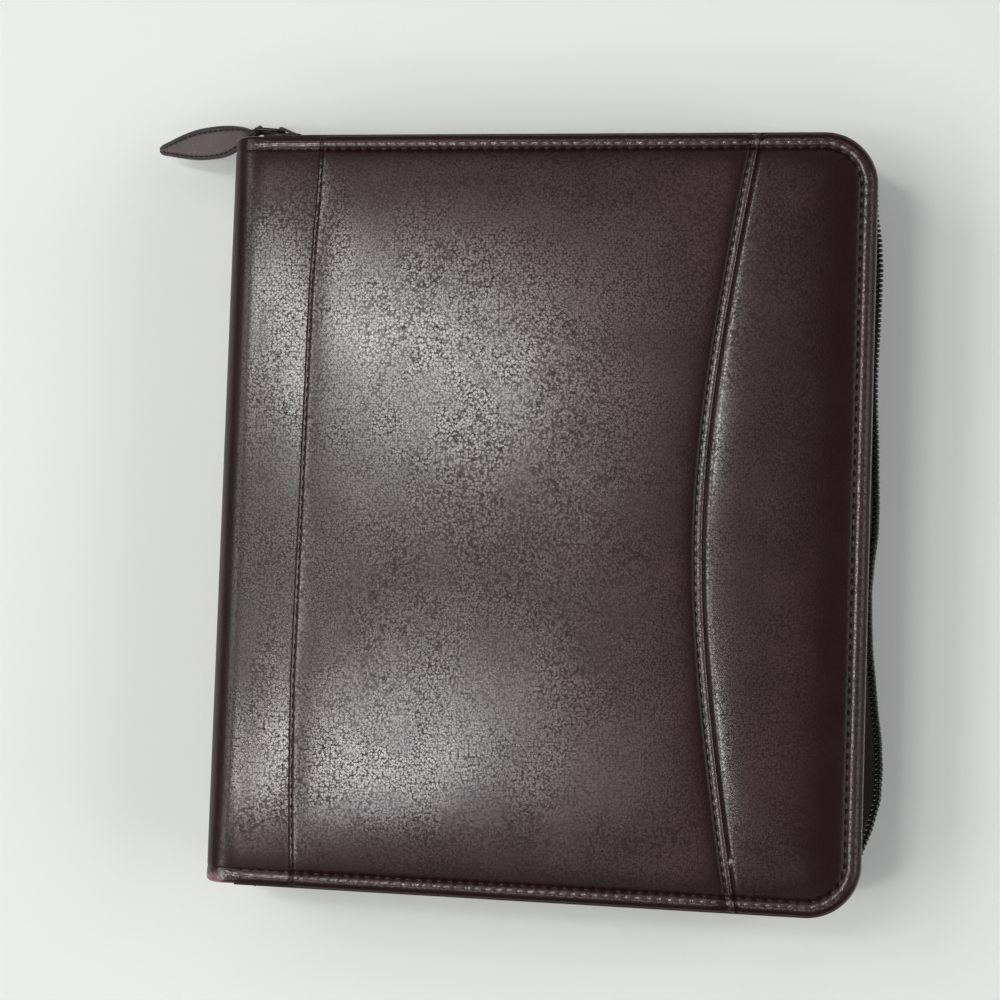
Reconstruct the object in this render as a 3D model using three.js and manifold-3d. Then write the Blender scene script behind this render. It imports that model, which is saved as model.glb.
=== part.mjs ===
// A zippered ring planner, closed and lying on its back cover. Millimetres, +Z up through the
// thickness, +Y towards the top of the pages, the spine on the -X side and the zipper's long
// run on the +X side. The origin is the centre of the back cover's outer face.
import * as THREE from 'three';
import { mergeVertices } from 'three/addons/utils/BufferGeometryUtils.js';
import Module from 'manifold-3d';

const wasm = await Module();
wasm.setup();

// Case
const CASE_THICKNESS = 50;
const CORNER_R = 17;
const SPINE_EDGE_R = 8;
const PANEL_T = 1.2;
const LEATHER_T = 1.2;
const BOARD_T = 2;
const LINING_T = 0.8;
const GLUE_GAP = 0.05;
const FIT_GAP = 0.3;
const SEAM_FROM_SPINE = 29;
const SEAM_LAP = 3.3;
const BOARD_INSET = 3.4;
const FOAM_INSET = 1.2;

// Curved outer pocket: a hyperbola, nearest to the spine a little below the middle
const POCKET_FROM_EDGE = 52.3;
const POCKET_NEAR_Y = -4;
const POCKET_SOFTNESS = 70;
const POCKET_SLOPE = 0.195;
const POCKET_STEPS = 22;
const POCKET_DEPTH = 42;

// Wall round three sides: leather gusset, zipper tape and coil, flaring outwards
const GUSSET_T = 1.2;
const GUSSET_INSET = 2.6;
const GUSSET_END_DEPTH = 14;
const WALL_FLARE = 0.2;
const TAPE_T = 0.6;
const TAPE_TOP_DEPTH = 9;
const TAPE_START_GAP = 1.2;
const COIL_R = 1.4;
const COIL_OUT = 3.1;
const COIL_MESH_GAP = 0.3;
const CORNER_STEPS = 6;

// Zipper slider, its wire loop and the leather pull
const SLIDER_LENGTH = 11;
const SLIDER_HALF_WIDTH = 5.5;
const SLIDER_PLATE_T = 1.1;
const SLIDER_FROM_SPINE = 6.1;
const SLIDER_POST = 3;
const SLIDER_POST_HALF = 1;
const FLANGE_WIDTH = 0.8;
const OUTER_FLANGE = 0.85;
const INNER_FLANGE = 0.4;
const CROWN_LENGTH = 7.5;
const CROWN_WIDTH = 3;
const CROWN_T = 0.9;
const LOOP_WIRE = 1.4;
const LOOP_CLEARANCE = 0.45;
const LOOP_LENGTH = 9.7;
const LOOP_HALF_WIDTH = 3.2;
const LOOP_TURN = -4.4;
const TAB_LENGTH = 45.8;
const TAB_HALF_WIDTH = 5.3;
const TAB_NECK_HALF = 2.6;
const TAB_LAYER_T = 1.1;
const TAB_TURN = 4.8;
const TAB_DROOP = 18.8;
const TAB_HOLE_R = 1.35;
const STOP_LENGTH = 4;

// Ring mechanism
const RING_COUNT = 7;
const RING_SPACING = 28;
const RING_INNER_R = 15;
const RING_WIRE = 3;
const RING_FROM_SPINE = 28.3;
const RING_FOOT = 5.5;
const RAIL_HALF_WIDTH = 12;
const RAIL_HEIGHT = 4.6;
const RAIL_T = 0.8;
const RAIL_PAST_RINGS = 9;
const RAIL_BEVEL = 1.2;
const BLADE_T = 0.8;
const BLADE_DROP = 3;
const BLADE_MIDDLE_GAP = 0.8;
const NOTCH_WIDTH = 4.2;
const NOTCH_FROM_MIDDLE = 3.6;
const RIVET_R = 2;
const RIVET_SHOULDER_R = 3.2;
const RIVET_HEAD_R = 4;
const RIVET_HEAD_T = 1;
const RIVET_FROM_RING = 6;
const LEVER_T = 1.2;
const LEVER_HALF_WIDTH = 5.5;
const LEVER_TONGUE = 5.5;
const LEVER_REACH = 8.5;
const LEVER_RISE = 6;
const LEVER_ROOT = 2;
const LEVER_PLAY = 0.5;

// Pages on the rings, and the room that the case leaves round them
const PAGE_WIDTH = 140;
const PAGE_HEIGHT = 216;
const PAGE_EDGE_FROM_RINGS = 7.5;
const ROOM_BESIDE_PAGES = 40.8;
const ROOM_ABOVE_PAGES = 19;
const STACK_HALF = 11.5;
const HOLE_R = 3.6;
const DIVIDER_T = 1;
const TAB_COUNT = 5;
const TAB_OUT = 7;
const TAB_GAP = 6;
const TAB_SLANT = 2;
const FINDER_T = 0.8;
const FINDER_WIDTH = 52;
const TURN_GAP = 0.3;

// How far a cutting shape reaches past the piece that it cuts
const CUT_PAST = 1;

// Inside pockets, pad and pen loop
const PAD_NARROWER = 10;
const PAD_SHORTER = 12;
const PAD_FROM_RINGS = 20;
const BACKING_T = 0.7;
const POCKET_T = 0.8;
const POCKET_WIDTH = 66;
const POCKET_PAST_PAD = 16;
const POCKET_SEAM = 6;
const POCKET_FOOT = 4;
const PEN_LOOP_FROM_EDGE = 20.3;
const PEN_LOOP_WIDTH = 15;
const PEN_LOOP_HEIGHT = 13;
const PEN_LOOP_LENGTH = 20;
const PEN_LOOP_T = 1.4;
const PEN_LOOP_R = 5;
const SLIP_WIDTH = 120;
const SLIP_HEIGHT = 110;
const SLIP_FROM_EDGE = 6;
const CARD_COUNT = 3;
const CARD_WIDTH = 96;
const CARD_HEIGHT = 62;
const CARD_STEP = 17;
const CARDS_ABOVE_SLIP = 4;
const CARD_T = 0.7;

// Places that follow from the sizes
const CASE_WIDTH = RING_FROM_SPINE + PAGE_EDGE_FROM_RINGS + PAGE_WIDTH + ROOM_BESIDE_PAGES;
const CASE_HEIGHT = PAGE_HEIGHT + 2 * ROOM_ABOVE_PAGES;
const SPINE_X = -CASE_WIDTH / 2;
const RIGHT_X = CASE_WIDTH / 2;
const TOP_Y = CASE_HEIGHT / 2;
const MIDDLE_Z = CASE_THICKNESS / 2;
const LEATHER_DEPTH = PANEL_T + GLUE_GAP;
const BOARD_DEPTH = LEATHER_DEPTH + LEATHER_T + GLUE_GAP;
const LINING_DEPTH = BOARD_DEPTH + BOARD_T + GLUE_GAP;
const INNER_DEPTH = LINING_DEPTH + LINING_T;
const SEAM_X = SPINE_X + SEAM_FROM_SPINE;
const PLATE_START_X = SPINE_X + SPINE_EDGE_R + FIT_GAP;
const SPINE_INNER_X = SPINE_X + LEATHER_T + GLUE_GAP + BOARD_T + GLUE_GAP + LINING_T;
const POCKET_NEAR_X = RIGHT_X - POCKET_FROM_EDGE;
const PEN_LOOP_X = RIGHT_X - PEN_LOOP_FROM_EDGE;
const RING_X = SPINE_X + RING_FROM_SPINE;
const RING_R = RING_INNER_R + RING_WIRE / 2;
const RAIL_BASE_Z = INNER_DEPTH + GLUE_GAP;
const RAIL_TOP_Z = RAIL_BASE_Z + RAIL_HEIGHT;
const BLADE_Z = RAIL_TOP_Z - BLADE_DROP;
const RING_Z = BLADE_Z + RING_R + BLADE_T / 2 + GLUE_GAP * 2;
const PAGE_X = RING_X + PAGE_EDGE_FROM_RINGS;
const PAGE_END_X = PAGE_X + PAGE_WIDTH;
const PAD_WIDTH = PAGE_WIDTH - PAD_NARROWER;
const PAD_HEIGHT = PAGE_HEIGHT - PAD_SHORTER;
const RING_SPAN = (RING_COUNT - 1) * RING_SPACING;
const RAIL_LENGTH = RING_SPAN + 2 * RAIL_PAST_RINGS;

const material = (name, color, roughness, metalness = 0) =>
  new THREE.MeshStandardMaterial({ name, color, roughness, metalness });
const leather = () => material('burgundy leather', 0x3a282a, 0.42);
const lining = () => material('dark lining', 0x2b1d1f, 0.8);
const board = () => material('grey board', 0x8d8578, 0.95);
const foam = () => material('dark foam', 0x3f3c3a, 0.95);
const tape = () => material('woven tape', 0x2a1a1b, 0.9);
const nylon = () => material('nylon coil', 0x17130f, 0.45);
const darkMetal = () => material('dark metal', 0x4a4038, 0.35, 1);
const nickel = () => material('nickel steel', 0xb9b9b6, 0.25, 1);
const paper = () => material('page paper', 0xefeadf, 0.95);
const card = () => material('divider card', 0xcabf9f, 0.85);
const plastic = () => material('clear plastic', 0xb9c3c4, 0.3);

/** Volume inside a closed indexed surface, negative where its faces point inwards. */
function signedVolume(geometry) {
  const position = geometry.getAttribute('position');
  const index = geometry.getIndex();
  const corners = [new THREE.Vector3(), new THREE.Vector3(), new THREE.Vector3()];
  let six = 0;
  for (let i = 0; i < index.count; i += 3) {
    corners.forEach((corner, k) => corner.fromBufferAttribute(position, index.getX(i + k)));
    six += corners[0].dot(corners[1].clone().cross(corners[2]));
  }
  return six / 6;
}

/** One closed surface with shared corners and its faces pointing outwards. */
function closed(geometry) {
  const plain = geometry.clone();
  plain.deleteAttribute('normal');
  plain.deleteAttribute('uv');
  const merged = mergeVertices(plain, 1e-4);
  if (signedVolume(merged) < 0) {
    const index = merged.getIndex();
    for (let i = 0; i < index.count; i += 3) {
      const first = index.getX(i);
      index.setX(i, index.getX(i + 1));
      index.setX(i + 1, first);
    }
  }
  return merged;
}

function toManifold(geometry) {
  const shape = closed(geometry);
  return new wasm.Manifold(new wasm.Mesh({
    numProp: 3,
    vertProperties: new Float32Array(shape.getAttribute('position').array),
    triVerts: new Uint32Array(shape.getIndex().array),
  }));
}

function fromManifold(solid) {
  const mesh = solid.getMesh();
  const geometry = new THREE.BufferGeometry();
  geometry.setAttribute('position', new THREE.BufferAttribute(mesh.vertProperties, 3));
  geometry.setIndex(new THREE.BufferAttribute(mesh.triVerts, 1));
  return geometry;
}

function cut(geometry, cutters) {
  const solid = cutters.reduce((rest, c) => rest.subtract(toManifold(c)), toManifold(geometry));
  return fromManifold(solid);
}

function join(first, ...others) {
  return fromManifold(others.reduce((sum, o) => sum.add(toManifold(o)), toManifold(first)));
}

/** A box from its low and high corners. */
function box([x0, y0, z0], [x1, y1, z1]) {
  return new THREE.BoxGeometry(x1 - x0, y1 - y0, z1 - z0)
    .translate((x0 + x1) / 2, (y0 + y1) / 2, (z0 + z1) / 2);
}

function shapeOf(points) {
  return new THREE.Shape(points.map(([x, y]) => new THREE.Vector2(x, y)));
}

/** An outline in X and Y raised from z0 to z1. */
function raise(shape, z0, z1) {
  const options = { depth: z1 - z0, bevelEnabled: false, curveSegments: CORNER_STEPS };
  return new THREE.ExtrudeGeometry(shape, options).translate(0, 0, z0);
}

/** A profile in X and Z carried along Y from y0 to y1. */
function alongY(points, y0, y1) {
  const options = { depth: y1 - y0, bevelEnabled: false };
  return new THREE.ExtrudeGeometry(shapeOf(points), options).rotateX(Math.PI / 2)
    .translate(0, y1, 0);
}

/** A profile in Y and Z carried along X from x0 to x1. */
function alongX(points, x0, x1) {
  const options = { depth: x1 - x0, bevelEnabled: false };
  return new THREE.ExtrudeGeometry(shapeOf(points), options).rotateX(Math.PI / 2)
    .rotateZ(Math.PI / 2).translate(x0, 0, 0);
}

/** An upright cylinder from z0 to z1. */
function post(x, y, r, z0, z1, sides = 20) {
  return new THREE.CylinderGeometry(r, r, z1 - z0, sides).rotateX(Math.PI / 2)
    .translate(x, y, (z0 + z1) / 2);
}

/** Points on an arc; angles in degrees. */
function arc(cx, cy, r, from, to, steps) {
  return Array.from({ length: steps + 1 }, (_, i) => {
    const angle = THREE.MathUtils.degToRad(from + (to - from) * i / steps);
    return [cx + r * Math.cos(angle), cy + r * Math.sin(angle)];
  });
}

/** The low and high z of a layer that lies a depth below a cover's outer face. */
function layer(side, depth, thickness) {
  return side === 'back' ? [depth, depth + thickness]
    : [CASE_THICKNESS - depth - thickness, CASE_THICKNESS - depth];
}

/** A cover outline: straight at x0, round corners at the right, all drawn in by inset. */
function coverOutline(x0, inset) {
  const r = CORNER_R - inset;
  const cx = RIGHT_X - CORNER_R;
  const cy = TOP_Y - CORNER_R;
  const y = TOP_Y - inset;
  return shapeOf([
    [x0, -y], ...arc(cx, -cy, r, -90, 0, CORNER_STEPS),
    ...arc(cx, cy, r, 0, 90, CORNER_STEPS), [x0, y],
  ]);
}

/** Where the curved pocket's folded edge is at a height y. */
function pocketEdgeX(y) {
  const rise = Math.hypot(y - POCKET_NEAR_Y, POCKET_SOFTNESS) - POCKET_SOFTNESS;
  return POCKET_NEAR_X + POCKET_SLOPE * rise;
}

function coverPlate(side, x0, inset, depth, thickness) {
  return raise(coverOutline(x0, inset), ...layer(side, depth, thickness));
}

/** The leather panel over the front, from the spine's seam to the curved pocket's edge. */
function middlePanel() {
  const edge = Array.from({ length: POCKET_STEPS + 1 }, (_, i) => {
    const y = -TOP_Y + CASE_HEIGHT * i / POCKET_STEPS;
    return [pocketEdgeX(y), y];
  });
  return raise(shapeOf([[SEAM_X, -TOP_Y], ...edge, [SEAM_X, TOP_Y]]), ...layer('front', 0, PANEL_T));
}

/** Half of the split between a cover's leather and the spine's, as an angle at the spine edge. */
const SPLIT_ANGLE = THREE.MathUtils.radToDeg(FIT_GAP / 2 / SPINE_EDGE_R);
const EDGE_CENTRE_X = SPINE_X + SPINE_EDGE_R;
const EDGE_CENTRE_DEPTH = LEATHER_DEPTH + SPINE_EDGE_R;
const SPINE_EDGE_INNER_R = SPINE_EDGE_R - LEATHER_T;
const EDGE_STEPS = 5;

/** Leather from the seam to the middle of the rounded spine edge, on either cover. */
function spineStrip(side) {
  const z = side === 'front' ? (v) => v : (v) => CASE_THICKNESS - v;
  const centre = CASE_THICKNESS - EDGE_CENTRE_DEPTH;
  const end = 135 - SPLIT_ANGLE;
  const profile = [
    [SEAM_X + SEAM_LAP, centre + SPINE_EDGE_R],
    ...arc(EDGE_CENTRE_X, centre, SPINE_EDGE_R, 90, end, EDGE_STEPS),
    ...arc(EDGE_CENTRE_X, centre, SPINE_EDGE_INNER_R, end, 90, EDGE_STEPS),
    [SEAM_X + SEAM_LAP, centre + SPINE_EDGE_INNER_R],
  ].map(([x, v]) => [x, z(v)]);
  return alongY(profile, -TOP_Y, TOP_Y);
}

/** The leather round the spine, from the middle of one rounded edge to the other's. */
function spineLeather() {
  const high = CASE_THICKNESS - EDGE_CENTRE_DEPTH;
  const low = EDGE_CENTRE_DEPTH;
  const profile = [
    ...arc(EDGE_CENTRE_X, high, SPINE_EDGE_R, 135 + SPLIT_ANGLE, 180, EDGE_STEPS),
    ...arc(EDGE_CENTRE_X, low, SPINE_EDGE_R, 180, 225 - SPLIT_ANGLE, EDGE_STEPS),
    ...arc(EDGE_CENTRE_X, low, SPINE_EDGE_INNER_R, 225 - SPLIT_ANGLE, 180, EDGE_STEPS),
    ...arc(EDGE_CENTRE_X, high, SPINE_EDGE_INNER_R, 180, 135 + SPLIT_ANGLE, EDGE_STEPS),
  ];
  return alongY(profile, -TOP_Y, TOP_Y);
}

/** A plate in the spine wall, a depth in from the spine's outer face. */
function spinePlate(depth, thickness, inset) {
  const x = SPINE_X + depth;
  return box([x, -TOP_Y + inset, EDGE_CENTRE_DEPTH],
    [x + thickness, TOP_Y - inset, CASE_THICKNESS - EDGE_CENTRE_DEPTH]);
}

/** Stations on the cover's edge from the spine along the top, right side and bottom. */
function edgeStations(startX) {
  const cx = RIGHT_X - CORNER_R;
  const cy = TOP_Y - CORNER_R;
  const corner = (y, from, to) => arc(0, 0, 1, from, to, CORNER_STEPS)
    .map(([nx, ny]) => ({ x: cx + CORNER_R * nx, y: y + CORNER_R * ny, nx, ny }));
  return [
    { x: startX, y: TOP_Y, nx: 0, ny: 1 }, ...corner(cy, 90, 0),
    ...corner(-cy, 0, -90), { x: startX, y: -TOP_Y, nx: 0, ny: -1 },
  ];
}

/** A section of outward offset and depth, carried round the cover's edge, with closed ends. */
function wall(side, startX, section) {
  const z = side === 'back' ? (d) => d : (d) => CASE_THICKNESS - d;
  const stations = edgeStations(startX);
  const positions = stations.flatMap((s) =>
    section.flatMap(([out, depth]) => [s.x + s.nx * out, s.y + s.ny * out, z(depth)]));
  const n = section.length;
  const index = [];
  for (let i = 0; i + 1 < stations.length; i++) {
    for (let k = 0; k < n; k++) {
      const a = i * n + k;
      const b = i * n + (k + 1) % n;
      index.push(a, b, a + n, b, b + n, a + n);
    }
  }
  const last = (stations.length - 1) * n;
  for (let k = 1; k + 1 < n; k++) {
    index.push(0, k + 1, k, last, last + k, last + k + 1);
  }
  const geometry = new THREE.BufferGeometry();
  geometry.setAttribute('position', new THREE.BufferAttribute(new Float32Array(positions), 3));
  geometry.setIndex(index);
  return closed(geometry);
}

/** How far out the gusset's inner face stands at a depth: the wall flares outwards. */
function flareOut(depth) {
  return -GUSSET_INSET + WALL_FLARE * (depth - BOARD_DEPTH);
}

function gusset(side) {
  const top = BOARD_DEPTH;
  return wall(side, PLATE_START_X, [
    [flareOut(top), top], [flareOut(top) + GUSSET_T, top],
    [flareOut(GUSSET_END_DEPTH) + GUSSET_T, GUSSET_END_DEPTH],
    [flareOut(GUSSET_END_DEPTH), GUSSET_END_DEPTH],
  ]);
}

const COIL_TOP_DEPTH = MIDDLE_Z - COIL_MESH_GAP / 2 - 2 * COIL_R;

/** Tape sewn to the outside of the gusset, reaching down to the coil. */
function zipTape(side) {
  const low = COIL_TOP_DEPTH - GLUE_GAP * 2;
  const inner = (depth) => flareOut(depth) + GUSSET_T + GLUE_GAP * 2;
  return wall(side, SPINE_INNER_X + TAPE_START_GAP, [
    [inner(TAPE_TOP_DEPTH), TAPE_TOP_DEPTH], [inner(TAPE_TOP_DEPTH) + TAPE_T, TAPE_TOP_DEPTH],
    [inner(low) + TAPE_T, low], [inner(low), low],
  ]);
}

const SLIDER_X = SPINE_X + SLIDER_FROM_SPINE;
const SLIDER_END_X = SLIDER_X + SLIDER_LENGTH;

function zipCoil(side) {
  const centre = MIDDLE_Z - COIL_MESH_GAP / 2 - COIL_R;
  const section = arc(COIL_OUT, centre, COIL_R, 0, 315, 7);
  return wall(side, SLIDER_END_X + FIT_GAP, section);
}

const PLATE_GAP = COIL_R + FIT_GAP;
const OUTER_PLATE = COIL_OUT + PLATE_GAP;
const INNER_PLATE = COIL_OUT - PLATE_GAP;
const OUTER_FACE = OUTER_PLATE + SLIDER_PLATE_T;
const LOOP_OUT = OUTER_FACE + LOOP_CLEARANCE + LOOP_WIRE / 2;
const CROWN_INSIDE = LOOP_OUT + LOOP_WIRE / 2 + FIT_GAP;
const CROWN_X = SLIDER_X + (SLIDER_LENGTH - CROWN_LENGTH) / 2;
const LOOP_X = CROWN_X + CROWN_T + FIT_GAP + LOOP_WIRE / 2;

/** Two plates with flanges, joined by a post at the spine end, and a bridge for the loop. */
function zipperSlider() {
  const part = (x0, x1, out0, out1, z0, z1) =>
    box([x0, TOP_Y + out0, MIDDLE_Z + z0], [x1, TOP_Y + out1, MIDDLE_Z + z1]);
  const w = SLIDER_HALF_WIDTH;
  const crownEnd = CROWN_X + CROWN_LENGTH;
  const bite = 0.2;
  const flanges = [-w, w - FLANGE_WIDTH].flatMap((z) => [
    part(SLIDER_X, SLIDER_END_X, OUTER_PLATE - OUTER_FLANGE, OUTER_PLATE + bite, z, z + FLANGE_WIDTH),
    part(SLIDER_X, SLIDER_END_X, INNER_PLATE - bite, INNER_PLATE + INNER_FLANGE, z, z + FLANGE_WIDTH),
  ]);
  const crown = [CROWN_X, crownEnd - CROWN_T].map((x) =>
    part(x, x + CROWN_T, OUTER_FACE - bite, CROWN_INSIDE + bite, -CROWN_WIDTH / 2, CROWN_WIDTH / 2));
  return join(
    part(SLIDER_X, SLIDER_END_X, OUTER_PLATE, OUTER_FACE, -w, w),
    part(SLIDER_X, SLIDER_END_X, INNER_PLATE - SLIDER_PLATE_T, INNER_PLATE, -w, w),
    part(SLIDER_X + bite, SLIDER_X + bite + SLIDER_POST, INNER_PLATE - bite, OUTER_PLATE + bite,
      -SLIDER_POST_HALF, SLIDER_POST_HALF),
    part(CROWN_X, crownEnd, CROWN_INSIDE, CROWN_INSIDE + CROWN_T, -CROWN_WIDTH / 2, CROWN_WIDTH / 2),
    ...flanges, ...crown,
  );
}

/** A closed wire loop, long in -X from the slider's bridge, flat in the X-Z plane. */
function pullLoop() {
  const w = LOOP_HALF_WIDTH;
  const r = LOOP_WIRE;
  const corners = [[0, w - r], [-r * 0.3, w - r * 0.3], [-r, w], [r - LOOP_LENGTH, w],
    [r * 0.3 - LOOP_LENGTH, w - r * 0.3], [-LOOP_LENGTH, w - r]];
  const ring = [...corners, ...corners.map(([x, z]) => [x, -z]).reverse()];
  const path = new THREE.CatmullRomCurve3(ring.map(([x, z]) => new THREE.Vector3(x, 0, z)), true);
  return new THREE.TubeGeometry(path, 36, LOOP_WIRE / 2, 8, true);
}

/** A leaf outline along -X from the loop's crossbar at the origin, with the wire's hole. */
function tabOutline() {
  const neck = TAB_NECK_HALF;
  const rootX = neck * 0.9;
  const shape = new THREE.Shape();
  const length = TAB_LENGTH - rootX;
  shape.moveTo(rootX, 0);
  shape.quadraticCurveTo(rootX, neck, -neck * 0.4, neck);
  const wide = TAB_HALF_WIDTH;
  const wideX = -length * 0.55;
  const shoulderX = -length * 0.28;
  const bulgeX = -length * 0.36;
  const taperX = -length * 0.78;
  const pointX = -length * 0.9;
  shape.bezierCurveTo(shoulderX, neck, bulgeX, wide, wideX, wide);
  shape.bezierCurveTo(taperX, wide, pointX, neck * 0.5, -length, 0);
  shape.bezierCurveTo(pointX, -neck, taperX, -wide, wideX, -wide);
  shape.bezierCurveTo(bulgeX, -wide, shoulderX, -neck, -neck * 0.4, -neck);
  shape.quadraticCurveTo(rootX, -neck, rootX, 0);
  const hole = new THREE.Path();
  hole.absarc(0, 0, TAB_HOLE_R, 0, Math.PI * 2, true);
  shape.holes.push(hole);
  return shape;
}

/** A small metal stop that holds the two coils' ends at the bottom, beside the spine. */
function bottomStop() {
  const x = SLIDER_X + FIT_GAP;
  const out = COIL_OUT + COIL_R;
  const inner = COIL_OUT - COIL_R;
  return box([x, -TOP_Y - out, MIDDLE_Z - 2 * COIL_R],
    [x + STOP_LENGTH, -TOP_Y - inner, MIDDLE_Z - FIT_GAP]);
}

class RingArc extends THREE.Curve {
  constructor(y, from, to) {
    super();
    this.y = y;
    this.from = from;
    this.to = to;
  }

  getPoint(t, target = new THREE.Vector3()) {
    const angle = THREE.MathUtils.lerp(this.from, this.to, t);
    return target.set(RING_X + RING_R * Math.cos(angle), this.y, RING_Z + RING_R * Math.sin(angle));
  }
}

const RING_YS = Array.from({ length: RING_COUNT }, (_, i) => i * RING_SPACING - RING_SPAN / 2);
const RIVET_YS = [-1, 1].map((s) => s * (RING_SPAN / 2 - RIVET_FROM_RING));
const TONGUE_INNER_Y = RAIL_LENGTH / 2 - LEVER_TONGUE - LEVER_PLAY;

/** Half rings on their blade, for the left side (-1) or the right side (+1). */
function ringSet(side) {
  const lip = RAIL_HALF_WIDTH - RAIL_T;
  const inner = RING_X + side * BLADE_MIDDLE_GAP / 2;
  const outer = RING_X + side * (lip - FIT_GAP);
  const end = TONGUE_INNER_Y - FIT_GAP;
  const blade = cut(
    box([Math.min(inner, outer), -end, BLADE_Z], [Math.max(inner, outer), end, BLADE_Z + BLADE_T]),
    RIVET_YS.map((y) => post(RING_X, y, RIVET_SHOULDER_R + FIT_GAP * 2, BLADE_Z - CUT_PAST,
      BLADE_Z + BLADE_T + CUT_PAST)),
  );
  const foot = Math.acos(RING_FOOT / RING_R);
  const tip = FIT_GAP / 2 / RING_R;
  const toAngle = (a) => (side > 0 ? a : Math.PI - a);
  const section = new THREE.Shape();
  section.absarc(0, 0, RING_WIRE / 2, 0, Math.PI * 2);
  const rings = RING_YS.map((y) => new THREE.ExtrudeGeometry(section, {
    steps: 12, curveSegments: 4, bevelEnabled: false,
    extrudePath: new RingArc(y, toAngle(-foot), toAngle(Math.PI / 2 - tip)),
  }));
  return join(blade, ...rings);
}

/** The mechanism's domed cover, notched at its edges for each ring. */
function ringRail() {
  const w = RAIL_HALF_WIDTH;
  const arch = (t) => [
    [-w + t, RAIL_BASE_Z], [-w + t, RAIL_TOP_Z - RAIL_BEVEL], [-w + RAIL_BEVEL, RAIL_TOP_Z - t],
    [w - RAIL_BEVEL, RAIL_TOP_Z - t], [w - t, RAIL_TOP_Z - RAIL_BEVEL], [w - t, RAIL_BASE_Z],
  ];
  const points = [...arch(0), ...arch(RAIL_T).reverse()].map(([x, z]) => [RING_X + x, z]);
  const notches = RING_YS.flatMap((y) => [-1, 1].map((s) => {
    const a = RING_X + s * NOTCH_FROM_MIDDLE;
    const b = RING_X + s * (w + CUT_PAST);
    return box([Math.min(a, b), y - NOTCH_WIDTH / 2, BLADE_Z + BLADE_T / 2],
      [Math.max(a, b), y + NOTCH_WIDTH / 2, RAIL_TOP_Z + CUT_PAST]);
  }));
  const holes = RIVET_YS.map((y) => post(RING_X, y, RIVET_R + FIT_GAP, RAIL_BASE_Z, RAIL_TOP_Z + CUT_PAST));
  return cut(alongY(points, -RAIL_LENGTH / 2, RAIL_LENGTH / 2), [...notches, ...holes]);
}

/** A rivet from the board's outer face up to its head on the rail, with a shoulder under it. */
function rivet(y) {
  const low = BOARD_DEPTH;
  const shoulder = RAIL_TOP_Z - RAIL_T - GLUE_GAP;
  const head = RAIL_TOP_Z + GLUE_GAP;
  const profile = [
    [0, low], [RIVET_R, low], [RIVET_R, RAIL_BASE_Z], [RIVET_SHOULDER_R, RAIL_BASE_Z],
    [RIVET_SHOULDER_R, shoulder], [RIVET_R, shoulder], [RIVET_R, head], [RIVET_HEAD_R, head],
    [RIVET_HEAD_R * 0.7, head + RIVET_HEAD_T], [0, head + RIVET_HEAD_T],
  ].map(([r, z]) => new THREE.Vector2(r, z));
  return new THREE.LatheGeometry(profile, 20).rotateX(Math.PI / 2).translate(RING_X, y, 0);
}

/** A thumb lever at one end of the rail (+1 at the top): a tongue inside and a raised tab. */
function endLever(end) {
  const z = BLADE_Z + FIT_GAP;
  const railEnd = RAIL_LENGTH / 2;
  const half = RAIL_HALF_WIDTH - RAIL_T - FIT_GAP;
  const ys = [end * TONGUE_INNER_Y, end * (railEnd - FIT_GAP)].sort((a, b) => a - b);
  const tongue = box([RING_X - half, ys[0], z], [RING_X + half, ys[1], z + LEVER_T]);
  const bend = railEnd + LEVER_REACH - LEVER_RISE;
  const tip = railEnd + LEVER_REACH;
  const slant = LEVER_T * Math.SQRT1_2;
  const thumb = [
    [railEnd - LEVER_ROOT, z], [bend, z], [tip, z + LEVER_RISE], [tip - slant, z + LEVER_RISE + slant],
    [bend - LEVER_T * 0.4, z + LEVER_T], [railEnd - LEVER_ROOT, z + LEVER_T],
  ].map(([y, h]) => [end * y, h]);
  return join(tongue, alongX(thumb, RING_X - LEVER_HALF_WIDTH, RING_X + LEVER_HALF_WIDTH));
}

/** Curved channels that the rings pass through, wider outwards so that the rings can open. */
function ringChannels() {
  const r = RING_INNER_R - FIT_GAP + HOLE_R;
  return RING_YS.map((y) =>
    new THREE.TorusGeometry(r, HOLE_R, 8, 40).rotateX(Math.PI / 2).translate(RING_X, y, RING_Z));
}

/** A punched block of sheets on the rings, between two heights over the rings' centre. */
function punchedBlock(width, low, high) {
  const y = PAGE_HEIGHT / 2;
  return cut(box([PAGE_X, -y, RING_Z + low], [PAGE_X + width, y, RING_Z + high]), ringChannels());
}

const DIVIDER_TOP = -TURN_GAP / 2;
const DIVIDER_LOW = DIVIDER_TOP - DIVIDER_T;

/** Divider cards with index tabs standing out past the pages' free edge. */
function tabDividers() {
  const y = PAGE_HEIGHT / 2;
  const pitch = PAGE_HEIGHT / TAB_COUNT;
  const tabs = Array.from({ length: TAB_COUNT }, (_, i) => {
    const top = y - i * pitch - TAB_GAP / 2;
    const bottom = top - pitch + TAB_GAP;
    return [[PAGE_END_X, top], [PAGE_END_X + TAB_OUT, top - TAB_SLANT],
      [PAGE_END_X + TAB_OUT, bottom + TAB_SLANT], [PAGE_END_X, bottom]];
  }).flat();
  const sheet = raise(shapeOf([[PAGE_X, y], [PAGE_END_X, y], ...tabs, [PAGE_END_X, -y], [PAGE_X, -y]]),
    RING_Z + DIVIDER_LOW, RING_Z + DIVIDER_TOP);
  return cut(sheet, ringChannels());
}

const PAD_X = RING_X + PAD_FROM_RINGS;
const BACKING_Z = INNER_DEPTH + FIT_GAP;
const POCKET_Z = BACKING_Z + BACKING_T + FIT_GAP;
const PAD_Z = POCKET_Z + POCKET_T + FIT_GAP;
const PAD_TOP = RING_Z - STACK_HALF - FIT_GAP;

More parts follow.
